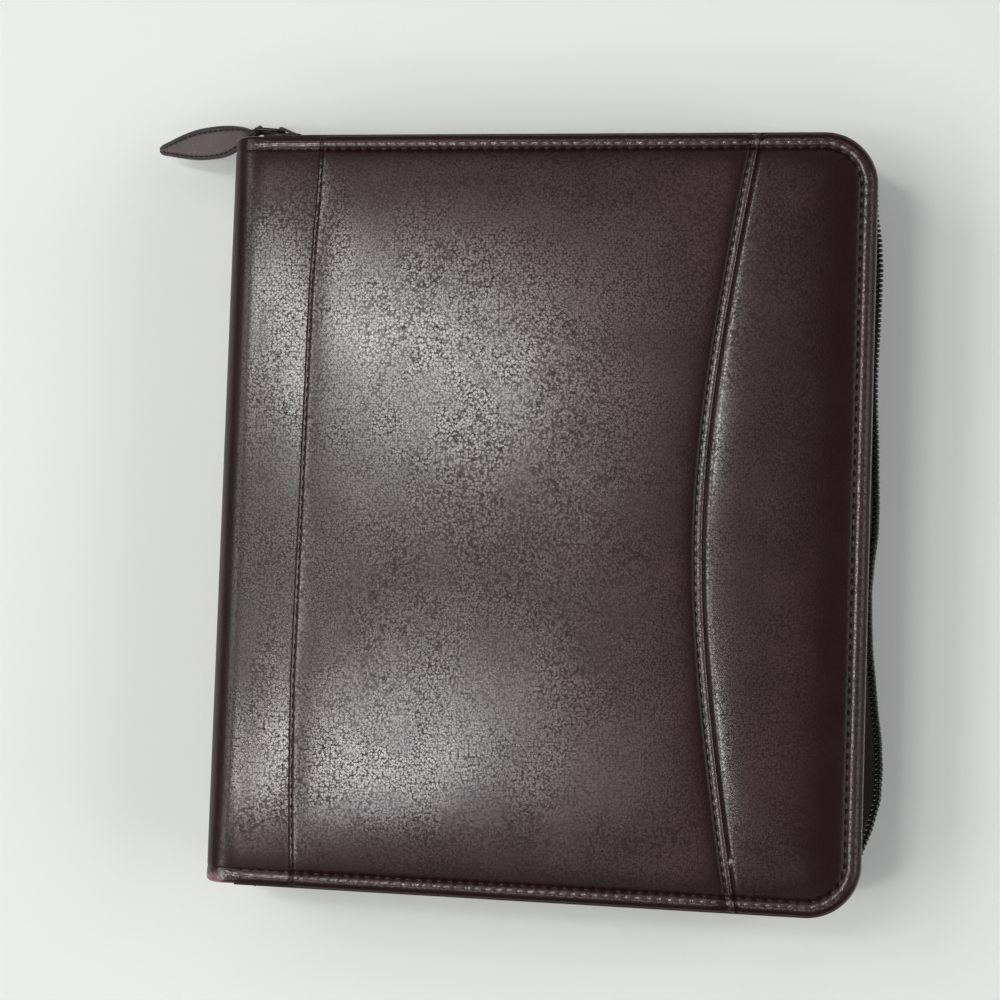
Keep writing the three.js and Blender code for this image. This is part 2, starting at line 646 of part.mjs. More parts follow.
/** A flat pocket over the pad's backing, with a sewn foot along its outer long edge. */
function padPocket() {
  const x1 = PAD_X + PAD_WIDTH + POCKET_SEAM;
  const x0 = x1 - POCKET_WIDTH;
  const y = PAD_HEIGHT / 2 + POCKET_PAST_PAD;
  return join(box([x0, -y, POCKET_Z], [x1, y, POCKET_Z + POCKET_T]),
    box([x1 - POCKET_FOOT, -y, INNER_DEPTH + GLUE_GAP], [x1, y, POCKET_Z + POCKET_T]));
}

/** A leather loop for a pen, standing on the back lining. */
function penLoop() {
  const outline = (inset) => {
    const x = PEN_LOOP_WIDTH / 2 - inset;
    const z0 = INNER_DEPTH + GLUE_GAP + inset;
    const z1 = INNER_DEPTH + GLUE_GAP + PEN_LOOP_HEIGHT - inset;
    const r = PEN_LOOP_R - inset;
    const left = arc(-x + r, z1 - r, r, 90, 180, 4);
    const right = arc(x - r, z1 - r, r, 0, 90, 4);
    return [...right, ...left, [-x, z0], [x, z0]].map(([px, pz]) => [PEN_LOOP_X + px, pz]);
  };
  const y = PEN_LOOP_LENGTH / 2;
  return cut(alongY(outline(0), -y, y), [alongY(outline(PEN_LOOP_T), -y - CUT_PAST, y + CUT_PAST)]);
}

/** A sewn pocket leaf on the front lining, a number of leaves in from the lining. */
function liningLeaf(x, y, width, height, order, thickness) {
  const depth = INNER_DEPTH + GLUE_GAP + order * (CARD_T + GLUE_GAP);
  const [z0, z1] = layer('front', depth, thickness);
  return box([x - width / 2, y - height / 2, z0], [x + width / 2, y + height / 2, z1]);
}

const planner = new THREE.Group();

function add(name, geometry, finish, parent = planner) {
  const mesh = new THREE.Mesh(closed(geometry), finish);
  mesh.name = name;
  parent.add(mesh);
  return mesh;
}

function addCover(side) {
  const holes = side === 'back'
    ? RIVET_YS.map((y) => post(RING_X, y, RIVET_R + FIT_GAP, 0, INNER_DEPTH + CUT_PAST)) : [];
  const boardPlate = coverPlate(side, PLATE_START_X, BOARD_INSET, BOARD_DEPTH, BOARD_T);
  const liningPlate = coverPlate(side, PLATE_START_X, BOARD_INSET, LINING_DEPTH, LINING_T);
  add(`${side}_spine_strip`, spineStrip(side), leather());
  add(`${side}_board`, cut(boardPlate, holes), board());
  add(`${side}_lining`, cut(liningPlate, holes), lining());
  add(`${side}_gusset`, gusset(side), leather());
  add(`${side}_zip_tape`, zipTape(side), tape());
  add(`${side}_zip_coil`, zipCoil(side), nylon());
}

/** Foam under an outer panel, from the end of the spine strip to a given x or the edge. */
function foamPad(side, endX = null) {
  const start = SEAM_X + SEAM_LAP + FIT_GAP;
  const full = coverPlate(side, start, FOAM_INSET, LEATHER_DEPTH, LEATHER_T);
  if (endX === null) return full;
  const beyond = box([endX, -CASE_HEIGHT, 0], [CASE_WIDTH, CASE_HEIGHT, CASE_THICKNESS]);
  return cut(full, [beyond]);
}

const POCKET_BACK_X = POCKET_NEAR_X - POCKET_DEPTH;

addCover('back');
add('back_panel', coverPlate('back', SEAM_X, 0, 0, PANEL_T), leather());
add('back_foam', foamPad('back'), foam());

addCover('front');
add('front_middle_panel', middlePanel(), leather());
add('front_pocket_panel', coverPlate('front', POCKET_BACK_X, 0, LEATHER_DEPTH, LEATHER_T), leather());
add('front_foam', foamPad('front', POCKET_BACK_X - FIT_GAP), foam());

add('spine_leather', spineLeather(), leather());
add('spine_board', spinePlate(LEATHER_T + GLUE_GAP, BOARD_T, BOARD_INSET), board());
add('spine_lining', spinePlate(LEATHER_T + BOARD_T + 2 * GLUE_GAP, LINING_T, BOARD_INSET), lining());

add('ring_rail', ringRail(), nickel());
add('left_ring_set', ringSet(-1), nickel());
add('right_ring_set', ringSet(1), nickel());
add('top_rivet', rivet(RIVET_YS[1]), nickel());
add('bottom_rivet', rivet(RIVET_YS[0]), nickel());
add('top_lever', endLever(1), nickel());
add('bottom_lever', endLever(-1), nickel());

add('lower_pages', punchedBlock(PAGE_WIDTH, -STACK_HALF, DIVIDER_LOW - GLUE_GAP), paper());
add('tab_dividers', tabDividers(), card());
add('upper_pages', punchedBlock(PAGE_WIDTH, TURN_GAP / 2, STACK_HALF), paper());
const finderLow = STACK_HALF + GLUE_GAP;
add('page_finder', punchedBlock(FINDER_WIDTH, finderLow, finderLow + FINDER_T), plastic());

/** A plate of the writing pad's size between two heights. */
function padPlate(z0, z1) {
  const y = PAD_HEIGHT / 2;
  return box([PAD_X, -y, z0], [PAD_X + PAD_WIDTH, y, z1]);
}

add('pad_backing', padPlate(BACKING_Z, BACKING_Z + BACKING_T), card());
add('pad_pocket', padPocket(), lining());
add('pad_sheets', padPlate(PAD_Z, PAD_TOP), paper());
add('pen_loop', penLoop(), leather());

const slipY = -TOP_Y + BOARD_INSET + SLIP_FROM_EDGE + SLIP_HEIGHT / 2;
add('slip_pocket', liningLeaf(0, slipY, SLIP_WIDTH, SLIP_HEIGHT, 0, CARD_T), lining());
const cardsTop = slipY + SLIP_HEIGHT / 2 + CARDS_ABOVE_SLIP;
for (let i = 0; i < CARD_COUNT; i++) {
  const y = cardsTop + CARD_HEIGHT / 2 + (CARD_COUNT - 1 - i) * CARD_STEP;
  add(`card_slot_${i + 1}`, liningLeaf(0, y, CARD_WIDTH, CARD_HEIGHT, i, CARD_T), lining());
}

add('zipper_slider', zipperSlider(), darkMetal());
add('zip_bottom_stop', bottomStop(), darkMetal());
const pull = new THREE.Group();
pull.position.set(LOOP_X, TOP_Y + LOOP_OUT, MIDDLE_Z);
pull.rotation.z = THREE.MathUtils.degToRad(LOOP_TURN);
planner.add(pull);
add('pull_loop', pullLoop(), darkMetal(), pull);
const tab = new THREE.Group();
tab.position.set(-LOOP_LENGTH, 0, 0);
const droop = THREE.MathUtils.degToRad(TAB_DROOP);
const swing = THREE.MathUtils.degToRad(TAB_TURN - LOOP_TURN);
tab.rotation.set(0, -droop, swing, 'ZYX');
pull.add(tab);
add('pull_tab_upper', raise(tabOutline(), GLUE_GAP, GLUE_GAP + TAB_LAYER_T), leather(), tab);
add('pull_tab_lower', raise(tabOutline(), -GLUE_GAP - TAB_LAYER_T, -GLUE_GAP), leather(), tab);

export default planner;
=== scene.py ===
"""Looks of a zippered ring planner in dark burgundy leather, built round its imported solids.

Sizes are millimetres in the part's own frame: +Z up through the thickness, +Y to the top of the
pages and -X to the spine. Meshes are written in metres.
"""
import logging
import math
from dataclasses import dataclass, field
from enum import Enum

import bpy
import numpy as np
from mathutils import Matrix, Vector


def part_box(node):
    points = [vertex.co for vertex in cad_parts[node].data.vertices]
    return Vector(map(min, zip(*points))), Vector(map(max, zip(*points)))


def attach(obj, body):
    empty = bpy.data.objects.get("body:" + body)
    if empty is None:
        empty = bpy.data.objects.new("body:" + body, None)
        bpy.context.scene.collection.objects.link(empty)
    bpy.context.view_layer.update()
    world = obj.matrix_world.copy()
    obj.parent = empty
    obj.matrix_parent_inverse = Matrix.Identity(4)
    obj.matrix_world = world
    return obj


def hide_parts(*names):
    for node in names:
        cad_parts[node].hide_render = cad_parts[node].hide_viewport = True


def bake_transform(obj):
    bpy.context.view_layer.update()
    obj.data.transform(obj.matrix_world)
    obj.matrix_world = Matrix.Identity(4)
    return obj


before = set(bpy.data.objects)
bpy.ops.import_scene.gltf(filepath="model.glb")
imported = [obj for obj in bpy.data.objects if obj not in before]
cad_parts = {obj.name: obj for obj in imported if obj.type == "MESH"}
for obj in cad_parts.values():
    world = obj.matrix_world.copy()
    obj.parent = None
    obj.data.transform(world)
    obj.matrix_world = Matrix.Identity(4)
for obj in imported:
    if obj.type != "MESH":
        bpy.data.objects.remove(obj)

log = logging.getLogger("planner")
MM = 0.001
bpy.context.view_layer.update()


class Body(str, Enum):
    """The moving bodies that pieces ride on."""

    BACK = "back_cover"
    FRONT = "front_cover"
    LEFT_RINGS = "left_rings"
    RIGHT_RINGS = "right_rings"
    SLIDER = "slider"
    LOOP = "loop"
    TAB = "pull_tab"


class Side(Enum):
    """Which cover a piece belongs to; the value is its outward direction in Z."""

    BACK = -1
    FRONT = 1

    @property
    def word(self) -> str:
        """The cover's name in the names of pieces."""
        return self.name.lower()

    @property
    def body(self) -> Body:
        """The body of this cover."""
        return Body.FRONT if self is Side.FRONT else Body.BACK

    def z(self, depth: np.ndarray | float) -> np.ndarray | float:
        """Height of what lies a depth below the cover's outer face."""
        return Case.THICKNESS - depth if self is Side.FRONT else depth


class Case:
    """Sizes of the closed case that several sub-assemblies share."""

    THICKNESS = 50.0
    MIDDLE = THICKNESS / 2
    LEFT = -108.3
    RIGHT = 108.3
    TOP = 127.0
    CORNER = 17.0
    CORNER_X = RIGHT - CORNER
    CORNER_Y = TOP - CORNER
    EDGE_R = 8.0
    SEAM = -79.3
    STITCHED_FROM = LEFT + 10.0


# Curves and arrays


def smoothstep(t: np.ndarray) -> np.ndarray:
    """0 below 0, 1 above 1 and 3t^2 - 2t^3 between."""
    t = np.clip(t, 0.0, 1.0)
    return t * t * (3.0 - 2.0 * t)


def dip(t: np.ndarray, width: float) -> np.ndarray:
    """A bell: e to the power of minus (t / width) squared."""
    return np.exp(-((t / width) ** 2))


def swell(distance: np.ndarray, reach: float) -> np.ndarray:
    """How far padding has risen a distance from its seam: 1 - e to the power of -distance/reach."""
    return 1.0 - np.exp(-np.maximum(distance, 0.0) / reach)


def unit(vectors: np.ndarray) -> np.ndarray:
    """The vectors at length one."""
    return vectors / np.maximum(np.linalg.norm(vectors, axis=-1, keepdims=True), 1e-12)


def spline(points: list | np.ndarray, per_span: int) -> np.ndarray:
    """A Catmull-Rom curve: each span is the cubic through two points with its neighbours' slopes.

    Args:
        points: The points to pass through, one a row.
        per_span: How many points each span gets.

    Returns:
        The curve's points, one a row.
    """
    p = np.asarray(points, float)
    q = np.vstack([2 * p[:1] - p[1:2], p, 2 * p[-1:] - p[-2:-1]])
    t = np.linspace(0, 1, per_span, endpoint=False)[None, :, None]
    a, b, c, d = (part[:, None] for part in (q[:-3], q[1:-2], q[2:-1], q[3:]))
    cubic = b + 0.5 * t * (c - a + t * (2 * a - 5 * b + 4 * c - d + t * (3 * (b - c) + d - a)))
    return np.vstack([cubic.reshape(-1, p.shape[1]), p[-1:]])


def travelled(path: np.ndarray) -> np.ndarray:
    """Distance along a path at each of its points."""
    steps = np.linalg.norm(np.diff(path, axis=0), axis=1)
    return np.concatenate([[0.0], np.cumsum(steps)])


def along(rows: np.ndarray, at: np.ndarray, columns: int | None = None) -> np.ndarray:
    """Rows of numbers at distances along a path, each read off straight between its neighbours.

    Args:
        rows: Numbers for each point of the path, its place first.
        at: The distances.
        columns: How many of the first columns the distance is measured in; all if None.

    Returns:
        The numbers at each distance, one a row.
    """
    done = travelled(rows[:, :columns])
    return np.stack([np.interp(at, done, rows[:, k]) for k in range(rows.shape[1])], axis=-1)


def around(count: int) -> np.ndarray:
    """Angles evenly spaced round a circle."""
    return np.linspace(0, 2 * np.pi, count, endpoint=False)


def rounded_section(count: int, half_wide: float, half_high: float, power: float) -> np.ndarray:
    """A superellipse: each angle's cosine and sine, raised to a power with their signs kept.

    Args:
        count: How many points it gets.
        half_wide: Half its width.
        half_high: Half its height.
        power: 1 for an ellipse, and less for a section nearer to a rectangle.

    Returns:
        The section's points, one a row.
    """
    ring = np.stack([np.cos(around(count)), np.sin(around(count))], -1)
    return np.sign(ring) * np.abs(ring) ** power * [half_wide, half_high]


def round_case(x: np.ndarray, y: np.ndarray, corner: int) -> tuple[np.ndarray, np.ndarray]:
    """The case's edge in plan: along the top, down the zipper side and back along the bottom.

    The straight runs lie at TOP, RIGHT and -TOP, and a quarter circle of radius CORNER joins them.

    Args:
        x: Places along the top, which the bottom has in reverse.
        y: Places down the zipper side.
        corner: How many points each corner gets.

    Returns:
        The points and the outward direction at each, one a row.
    """
    turn = np.linspace(np.pi / 2, 0, corner)
    upper = np.stack([np.cos(turn), np.sin(turn)], -1)
    lower = upper[::-1] * [1, -1]
    cx, cy, r = Case.CORNER_X, Case.CORNER_Y, Case.CORNER
    path = np.vstack([np.stack([x, np.full_like(x, Case.TOP)], -1), [cx, cy] + r * upper,
                      np.stack([np.full_like(y, Case.RIGHT), y], -1), [cx, -cy] + r * lower,
                      np.stack([x[::-1], np.full_like(x, -Case.TOP)], -1)])
    out = np.vstack([np.tile([0.0, 1.0], (len(x), 1)), upper, np.tile([1.0, 0.0], (len(y), 1)), lower,
                     np.tile([0.0, -1.0], (len(x), 1))])
    return path, out


def cross_frame(path: np.ndarray, lean: np.ndarray) -> tuple[np.ndarray, np.ndarray]:
    """Two unit vectors square to a path: the lean made square to its direction, and their cross.

    Args:
        path: The path's points, one a row.
        lean: The direction to lean to, at each point or for all.

    Returns:
        Both vectors at each point.
    """
    way = unit(np.gradient(path, axis=0))
    lean = np.broadcast_to(lean, path.shape)
    first = unit(lean - way * np.sum(lean * way, axis=-1, keepdims=True))
    return first, np.cross(way, first)


def tube(path: np.ndarray, lean: np.ndarray, radius: float, sides: int) -> np.ndarray:
    """A round wire: each point of the path plus a circle in the plane square to it."""
    return swept(path, lean, rounded_section(sides, radius, radius, 1.0))


def swept(path: np.ndarray, lean: np.ndarray, section: np.ndarray) -> np.ndarray:
    """A section carried along a path: each of its points, in the plane square to the path.

    Args:
        path: The path's points, one a row.
        lean: The direction that the section's width leans to.
        section: The section's points in width and height, one a row.

    Returns:
        Points of the path by points of the section by three.
    """
    first, second = cross_frame(path, lean)
    return path[:, None] + first[:, None] * section[:, :1] + second[:, None] * section[:, 1:]


# Meshes


@dataclass
class Shape:
    """Grids of points gathered into one mesh, each closed and facing outwards."""

    points: list[np.ndarray] = field(default_factory=list)
    faces: list[list[int]] = field(default_factory=list)
    marks: list[np.ndarray] = field(default_factory=list)
    count: int = 0

    def grid(self, points: np.ndarray, ring: bool = False, mark: np.ndarray | None = None) -> "Shape":
        """Adds a tube-like grid whose rows are closed loops.

        Args:
            points: Corner points in millimetres, rows by columns by three.
            ring: Whether the last row joins the first; if not, both ends are closed flat.
            mark: A number for each point that the finish can read, such as wear, painted shade or a painted
                highlight.

        Returns:
            This shape.
        """
        rows, cols = points.shape[:2]
        flat = points.reshape(-1, 3)
        i = np.arange(rows if ring else rows - 1)[:, None] * cols
        j = np.arange(cols)[None, :]
        down, over = (i + cols) % (rows * cols), (j + 1) % cols
        quads = np.stack([i + j, i + over, down + over, down + j], axis=-1).reshape(-1, 4)
        a, b, c, d = (flat[quads[:, k]] for k in range(4))
        volume = np.sum(a * np.cross(b, c)) + np.sum(a * np.cross(c, d))
        caps = []
        if not ring:
            caps = [np.arange(cols)[::-1], np.arange(cols) + (rows - 1) * cols]
            for cap in caps:
                fan = flat[cap]
                volume += np.sum(fan[0] * np.cross(fan[1:-1], fan[2:]))
        if volume < 0:
            quads, caps = quads[:, ::-1], [cap[::-1] for cap in caps]
        self.faces += (quads + self.count).tolist() + [(cap + self.count).tolist() for cap in caps]
        self.points.append(flat)
        self.marks.append(np.zeros(len(flat)) if mark is None else mark.ravel())
        self.count += len(flat)
        return self

    def many(self, points: np.ndarray) -> "Shape":
        """Adds many small closed grids at once: an array of shapes by rows by columns by three.

        Args:
            points: The shapes' corner points in millimetres; the first shape's faces serve for all.

        Returns:
            This shape.
        """
        number, rows, cols = points.shape[:3]
        one = Shape().grid(points[0])
        shift = np.arange(number) * rows * cols + self.count
        for face in one.faces:
            self.faces += (np.array(face)[None, :] + shift[:, None]).tolist()
        self.points.append(points.reshape(-1, 3))
        self.marks.append(np.zeros(number * rows * cols))
        self.count += number * rows * cols
        return self

    def make(self, name: str, finish: "Finish", body: Body | None, slot: str, *nodes: str,
             sharp: float = 50.0) -> bpy.types.Object:
        """Writes the mesh and puts it on its body.

        Args:
            name: The piece's name.
            finish: What it is made of.
            body: The body that it rides on, or None to put it on none.
            slot: The name of a material slot; not used.
            nodes: The solids that it stands for.
            sharp: Edges that turn by more degrees than this stay sharp.

        Returns:
            The piece.
        """
        mesh = bpy.data.meshes.new(name)
        mesh.from_pydata((np.vstack(self.points) * MM).tolist(), [], self.faces)
        mark = mesh.attributes.new("mark", "FLOAT", "POINT")
        mark.data.foreach_set("value", np.concatenate(self.marks).astype(np.float32))
        mesh.polygons.foreach_set("use_smooth", np.ones(len(mesh.polygons), bool))
        mesh.set_sharp_from_angle(angle=math.radians(sharp))
        mesh.materials.append(finish.material())
        piece = bpy.data.objects.new(name, mesh)
        bpy.context.scene.collection.objects.link(piece)
        if body is not None:
            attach(piece, body.value)
        if nodes:
            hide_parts(*nodes)
        log.info("%s: %d faces", name, len(mesh.polygons))
        return piece


@dataclass(frozen=True)
class Stitch:
    """One row of lockstitches: a short thread, thick in its middle, for every pitch."""

    pitch: float = 3.5
    share: float = 0.62
    radius: float = 0.26
    slant: float = 0.0

    def threads(self, path: np.ndarray, up: np.ndarray) -> np.ndarray:
        """Threads laid along a path.

        A thread's cross-section is a circle whose radius is the fourth root of 1 - a^4 at a share a
        of its half length, and its middle arches up by 1 - a^2.

        Args:
            path: The seam's points.
            up: The direction out of the leather at each point.

        Returns:
            An array of threads by rows by columns by three.
        """
        total = travelled(path)[-1]
        number = max(1, int(total / self.pitch))
        at = (np.arange(number) + 0.5) * total / number
        centre, out = along(path, at), unit(along(np.hstack([path, up]), at)[:, 3:])
        ahead = unit(along(path, at + 0.2) - along(path, at - 0.2))
        aside = np.cross(ahead, out)
        turn = math.radians(self.slant)
        ahead, aside = (ahead * math.cos(turn) + aside * math.sin(turn),
                        aside * math.cos(turn) - ahead * math.sin(turn))
        a = np.array([-1.0, -0.8, -0.3, 0.3, 0.8, 1.0])
        thick = np.maximum((1 - a**4), 0.0) ** 0.25 * 0.85 + 0.15
        phi = around(6)
        half = self.share * total / number / 2

        def lift(vectors: np.ndarray, amounts: np.ndarray) -> np.ndarray:
            """Each vector times each amount, as threads by rows by columns by three."""
            spread = np.broadcast_to(amounts, (len(a), len(phi)))
            return vectors[:, None, None] * spread[None, :, :, None]

        radius = self.radius * thick[:, None]
        return (centre[:, None, None] + lift(ahead, (a * half)[:, None])
                + lift(aside, radius * np.sin(phi))
                + lift(out, radius * np.cos(phi) + (self.radius * (1 - a**2))[:, None]))

    def sew(self, name: str, body: Body, slot: str, *rows: tuple[np.ndarray, np.ndarray]) -> None:
        """Lays rows of threads as one piece.

        Args:
            name: The piece's name.
            body: The body that it rides on.
            slot: The name of a material slot, handed on to make, which doesn't use it.
            rows: Each row's path, and the direction out of the leather, at each point or for all.
        """
        shape = Shape()
        for path, up in rows:
            shape.many(self.threads(path, np.broadcast_to(up, path.shape)))
        shape.make(name, THREAD, body, slot)


# Materials


class Sock:
    """A value socket; arithmetic on it adds Math nodes."""

    def __init__(self, tree: "Tree", out: bpy.types.NodeSocket) -> None:
        """Keeps the socket and the tree that it belongs to."""
        self.tree = tree
        self.out = out

    def __add__(self, other: "Sock | float") -> "Sock":
        """The sum."""
        return self.tree.math("ADD", self, other)

    def __radd__(self, other: float) -> "Sock":
        """The sum, with the number first."""
        return self.tree.math("ADD", other, self)

    def __sub__(self, other: "Sock | float") -> "Sock":
        """The difference."""
        return self.tree.math("SUBTRACT", self, other)

    def __rsub__(self, other: float) -> "Sock":
        """The difference, with the number first."""
        return self.tree.math("SUBTRACT", other, self)

    def __mul__(self, other: "Sock | float") -> "Sock":
        """The product."""
        return self.tree.math("MULTIPLY", self, other)

    def __rmul__(self, other: float) -> "Sock":
        """The product, with the number first."""
        return self.tree.math("MULTIPLY", other, self)

    def span(self, low: float, high: float) -> "Sock":
        """0 at low and 1 at high, smooth between and clamped outside."""
        node = self.tree.node("ShaderNodeMapRange", {"interpolation_type": "SMOOTHSTEP"},
                              Value=self, **{"From Min": low, "From Max": high})
        return Sock(self.tree, node.outputs["Result"])


class Tree:
    """The nodes of one material, with its Principled shader ready."""

    def __init__(self, name: str) -> None:
        """Starts an empty material of that name.

        Args:
            name: The material's name.
        """
        self.made = bpy.data.materials.new(name)
        self.made.use_nodes = True
        self.nodes = self.made.node_tree.nodes
        self.links = self.made.node_tree.links
        self.shader = self.nodes["Principled BSDF"]

    def node(self, kind: str, settings: dict | None = None, **values: object) -> bpy.types.Node:
        """Adds a node.

        Args:
            kind: The node's type.
            settings: Its settings, which are set before its sockets.
            values: Its sockets' values or links, by name, or by number after an underscore.

        Returns:
            The node.
        """
        node = self.nodes.new(kind)
        for key, value in (settings or {}).items():
            setattr(node, key, value)
        for key, value in values.items():
            socket = node.inputs[int(key[1:])] if key[0] == "_" else node.inputs[key]
            self.feed(socket, value)
        return node

    def feed(self, socket: bpy.types.NodeSocket, value: object) -> None:
        """Links a socket to it, or sets the socket's own value.

        Args:
            socket: The socket to feed.
            value: A socket to link, a number, a vector or a colour.
        """
        if isinstance(value, Sock):
            value = value.out
        if isinstance(value, bpy.types.NodeSocket):
            self.links.new(value, socket)
        elif isinstance(value, tuple) and len(value) == 3 and socket.type == "RGBA":
            socket.default_value = (*value, 1.0)
        else:
            socket.default_value = value

    def math(self, operation: str, *values: "Sock | float") -> Sock:
        """A Math node on the values."""
        inputs = {f"_{k}": value for k, value in enumerate(values)}
        return Sock(self, self.node("ShaderNodeMath", {"operation": operation}, **inputs).outputs[0])

    def place(self) -> bpy.types.NodeSocket:
        """The piece's own coordinates, in metres in the part's frame."""
        return self.node("ShaderNodeTexCoord").outputs["Object"]

    def axis(self, name: str) -> Sock:
        """One of the coordinates X, Y and Z, in millimetres."""
        split = self.node("ShaderNodeSeparateXYZ", _0=self.place())
        return Sock(self, split.outputs[name]) * 1000.0

    def stretch(self, scale: tuple[float, float, float]) -> bpy.types.NodeSocket:
        """The piece's coordinates scaled differently along each axis."""
        return self.node("ShaderNodeVectorMath", {"operation": "MULTIPLY"}, _0=self.place(),
                         _1=scale).outputs[0]

    def noise(self, scale: float, detail: float = 2.0, rough: float = 0.5, bend: float = 0.0,
              where: bpy.types.NodeSocket | None = None) -> Sock:
        """Soft noise of about that many spots in a metre."""
        node = self.node("ShaderNodeTexNoise", Vector=where or self.place(), Scale=scale,
                         Detail=detail, Roughness=rough, Distortion=bend)
        return Sock(self, node.outputs[0])

    def cells(self, scale: float, where: bpy.types.NodeSocket) -> Sock:
        """Distance in a cell pattern of about that many cells in a metre."""
        node = self.node("ShaderNodeTexVoronoi", {"feature": "F1"}, Vector=where, Scale=scale,
                         Randomness=0.8)
        return Sock(self, node.outputs["Distance"])

    def warped(self, scale: float, amount: float) -> bpy.types.NodeSocket:
        """The piece's coordinates pushed about by noise, by up to an amount in metres.

        Args:
            scale: About how many swirls the noise has in a metre.
            amount: The longest push.

        Returns:
            The pushed coordinates.
        """
        node = self.node("ShaderNodeTexNoise", Vector=self.place(), Scale=scale, Detail=2.0)
        push = self.node("ShaderNodeVectorMath", {"operation": "MULTIPLY_ADD"},
                         _0=node.outputs["Color"], _1=(amount,) * 3, _2=self.place())
        return push.outputs[0]

    def mark(self) -> Sock:
        """The number that the mesh carries at each point."""
        return Sock(self, self.node("ShaderNodeAttribute", {"attribute_name": "mark"}).outputs["Fac"])

    def mix(self, share: "Sock | float", low: object, high: object) -> bpy.types.NodeSocket:
        """A colour between two others.

        Args:
            share: 0 for the first colour and 1 for the second.
            low: The first colour or its link.
            high: The second.

        Returns:
            The colour.
        """
        node = self.node("ShaderNodeMix", {"data_type": "RGBA"})
        for key, value in ((0, share), (6, low), (7, high)):
            self.feed(node.inputs[key], value)
        return node.outputs[2]

    def bump(self, height: Sock, depth: float) -> bpy.types.NodeSocket:
        """A normal for a height from 0 to 1 that stands for a depth in metres."""
        return self.node("ShaderNodeBump", Strength=1.0, Distance=depth, Height=height).outputs[0]

    def dress(self, **values: object) -> bpy.types.Material:
        """Feeds the shader's sockets, named with _ for a space, and returns the material.

        Args:
            values: Each socket's value or link.

        Returns:
            The material.
        """
        for key, value in values.items():
            self.feed(self.shader.inputs[key.replace("_", " ")], value)
        return self.made


class Finish:
    """Something that pieces are made of; its material is made once."""

    made: dict = {}

    def material(self) -> bpy.types.Material:
        """The finish's material, shared by the pieces that have it.

        Returns:
            The material.
        """
        if self not in Finish.made:
            Finish.made[self] = self.build()
        return Finish.made[self]

    def build(self) -> bpy.types.Material:
        """Makes the nodes."""
        raise NotImplementedError


@dataclass(frozen=True)
class Leather(Finish):
    """Pebbled leather: cells about a millimetre wide, cloudy colour, gloss broken up by the grain."""

    name: str = "burgundy_leather"
    deep: tuple = (0.0230, 0.0055, 0.0078)
    pale: tuple = (0.0460, 0.0170, 0.0190)
    # Rubbed pale colour; on the rims' crests it also paints a highlight.
    worn: tuple = (0.088, 0.056, 0.058)
    scuff: tuple = (0.23, 0.11, 0.125)
    # Colour of painted shade.
    shaded: tuple = (0.012, 0.0010, 0.0020)
    rough: float = 0.42
    gloss: float = 1.0
    grain: float = 0.00005

    def build(self) -> bpy.types.Material:
        """A rough base under a thin coat of polish on the pebbles' tops, cut back where shade is painted.

        The mark of a point says how it is coloured: below 0 it gets painted shade, darker and with less
        coat; up to 1 it is rubbed pale, which on the rims' crests also stands for a painted highlight;
        and above 1 it is scuffed.

        Returns:
            The material.
        """
        t = Tree(self.name)
        where = t.warped(300.0, 0.0004)
        pebbles = t.cells(1150.0, where)
        tops = 1.0 - pebbles.span(0.25, 0.72)
        swells = t.noise(1250.0, 0.0)
        fine = t.noise(3200.0, 2.0, 0.6)
        cloud = t.noise(16.0, 3.0, 0.55, 0.3)
        patch = t.noise(60.0, 2.0, 0.5)
        depth = t.noise(38.0, 2.0, 0.6, 0.8).span(0.34, 0.58) * 0.45 + 0.55
        height = (tops * 0.5 + swells * 0.6 + fine * 0.06) * depth
        colour = t.mix((cloud * 0.65 + patch * 0.35).span(0.35, 0.68), self.deep, self.pale)
        colour = t.mix((1.0 - tops) * 0.6 * depth, colour, tuple(0.6 * c for c in self.deep))
        # Painted shade: a mark below 0 darkens the colour towards the shaded colour and thins the coat.
        shade = (t.mark() * -1.0).span(0.0, 1.0)
        colour = t.mix(shade * 0.9, colour, self.shaded)
        # Rubbed pale, which on the crests is also a painted highlight.
        colour = t.mix(t.mark() * 0.75, colour, self.worn)
        scuffed = t.mark() - 1.0 + (patch - 0.5) * 1.6 + (swells - 0.5) * 1.8
        colour = t.mix(scuffed.span(0.1, 1.0), colour, self.scuff)
        rough = self.rough + (patch - 0.5) * 0.14 + (fine - 0.5) * 0.10
        dots = ((tops - 0.5) * 0.72 + (swells - 0.5) * 0.5) * depth + 0.46
        shine = dots * (0.6 + patch * 0.5) * (1.0 - shade * 0.95) * self.gloss
        return t.dress(Base_Color=colour, Roughness=rough, Normal=t.bump(height, self.grain),
                       Coat_Weight=shine, Coat_Roughness=0.21, Coat_IOR=1.85, Specular_IOR_Level=0.22)


@dataclass(frozen=True)
class Thread(Finish):
    """Waxed sewing thread with a fine twist."""

    name: str = "dark_thread"
    colour: tuple = (0.004, 0.0018, 0.002)

    def build(self) -> bpy.types.Material:
        """Noise for the lie of the fibres.

        Returns:
            The material.
        """
        t = Tree(self.name)
        fibre = t.noise(5200.0, 2.0)
        colour = t.mix(fibre.span(0.3, 0.7), self.colour, tuple(2.2 * c for c in self.colour))
        return t.dress(Base_Color=colour, Roughness=fibre * 0.2 + 0.65, Specular_IOR_Level=0.2,
                       Normal=t.bump(fibre, 0.00008))


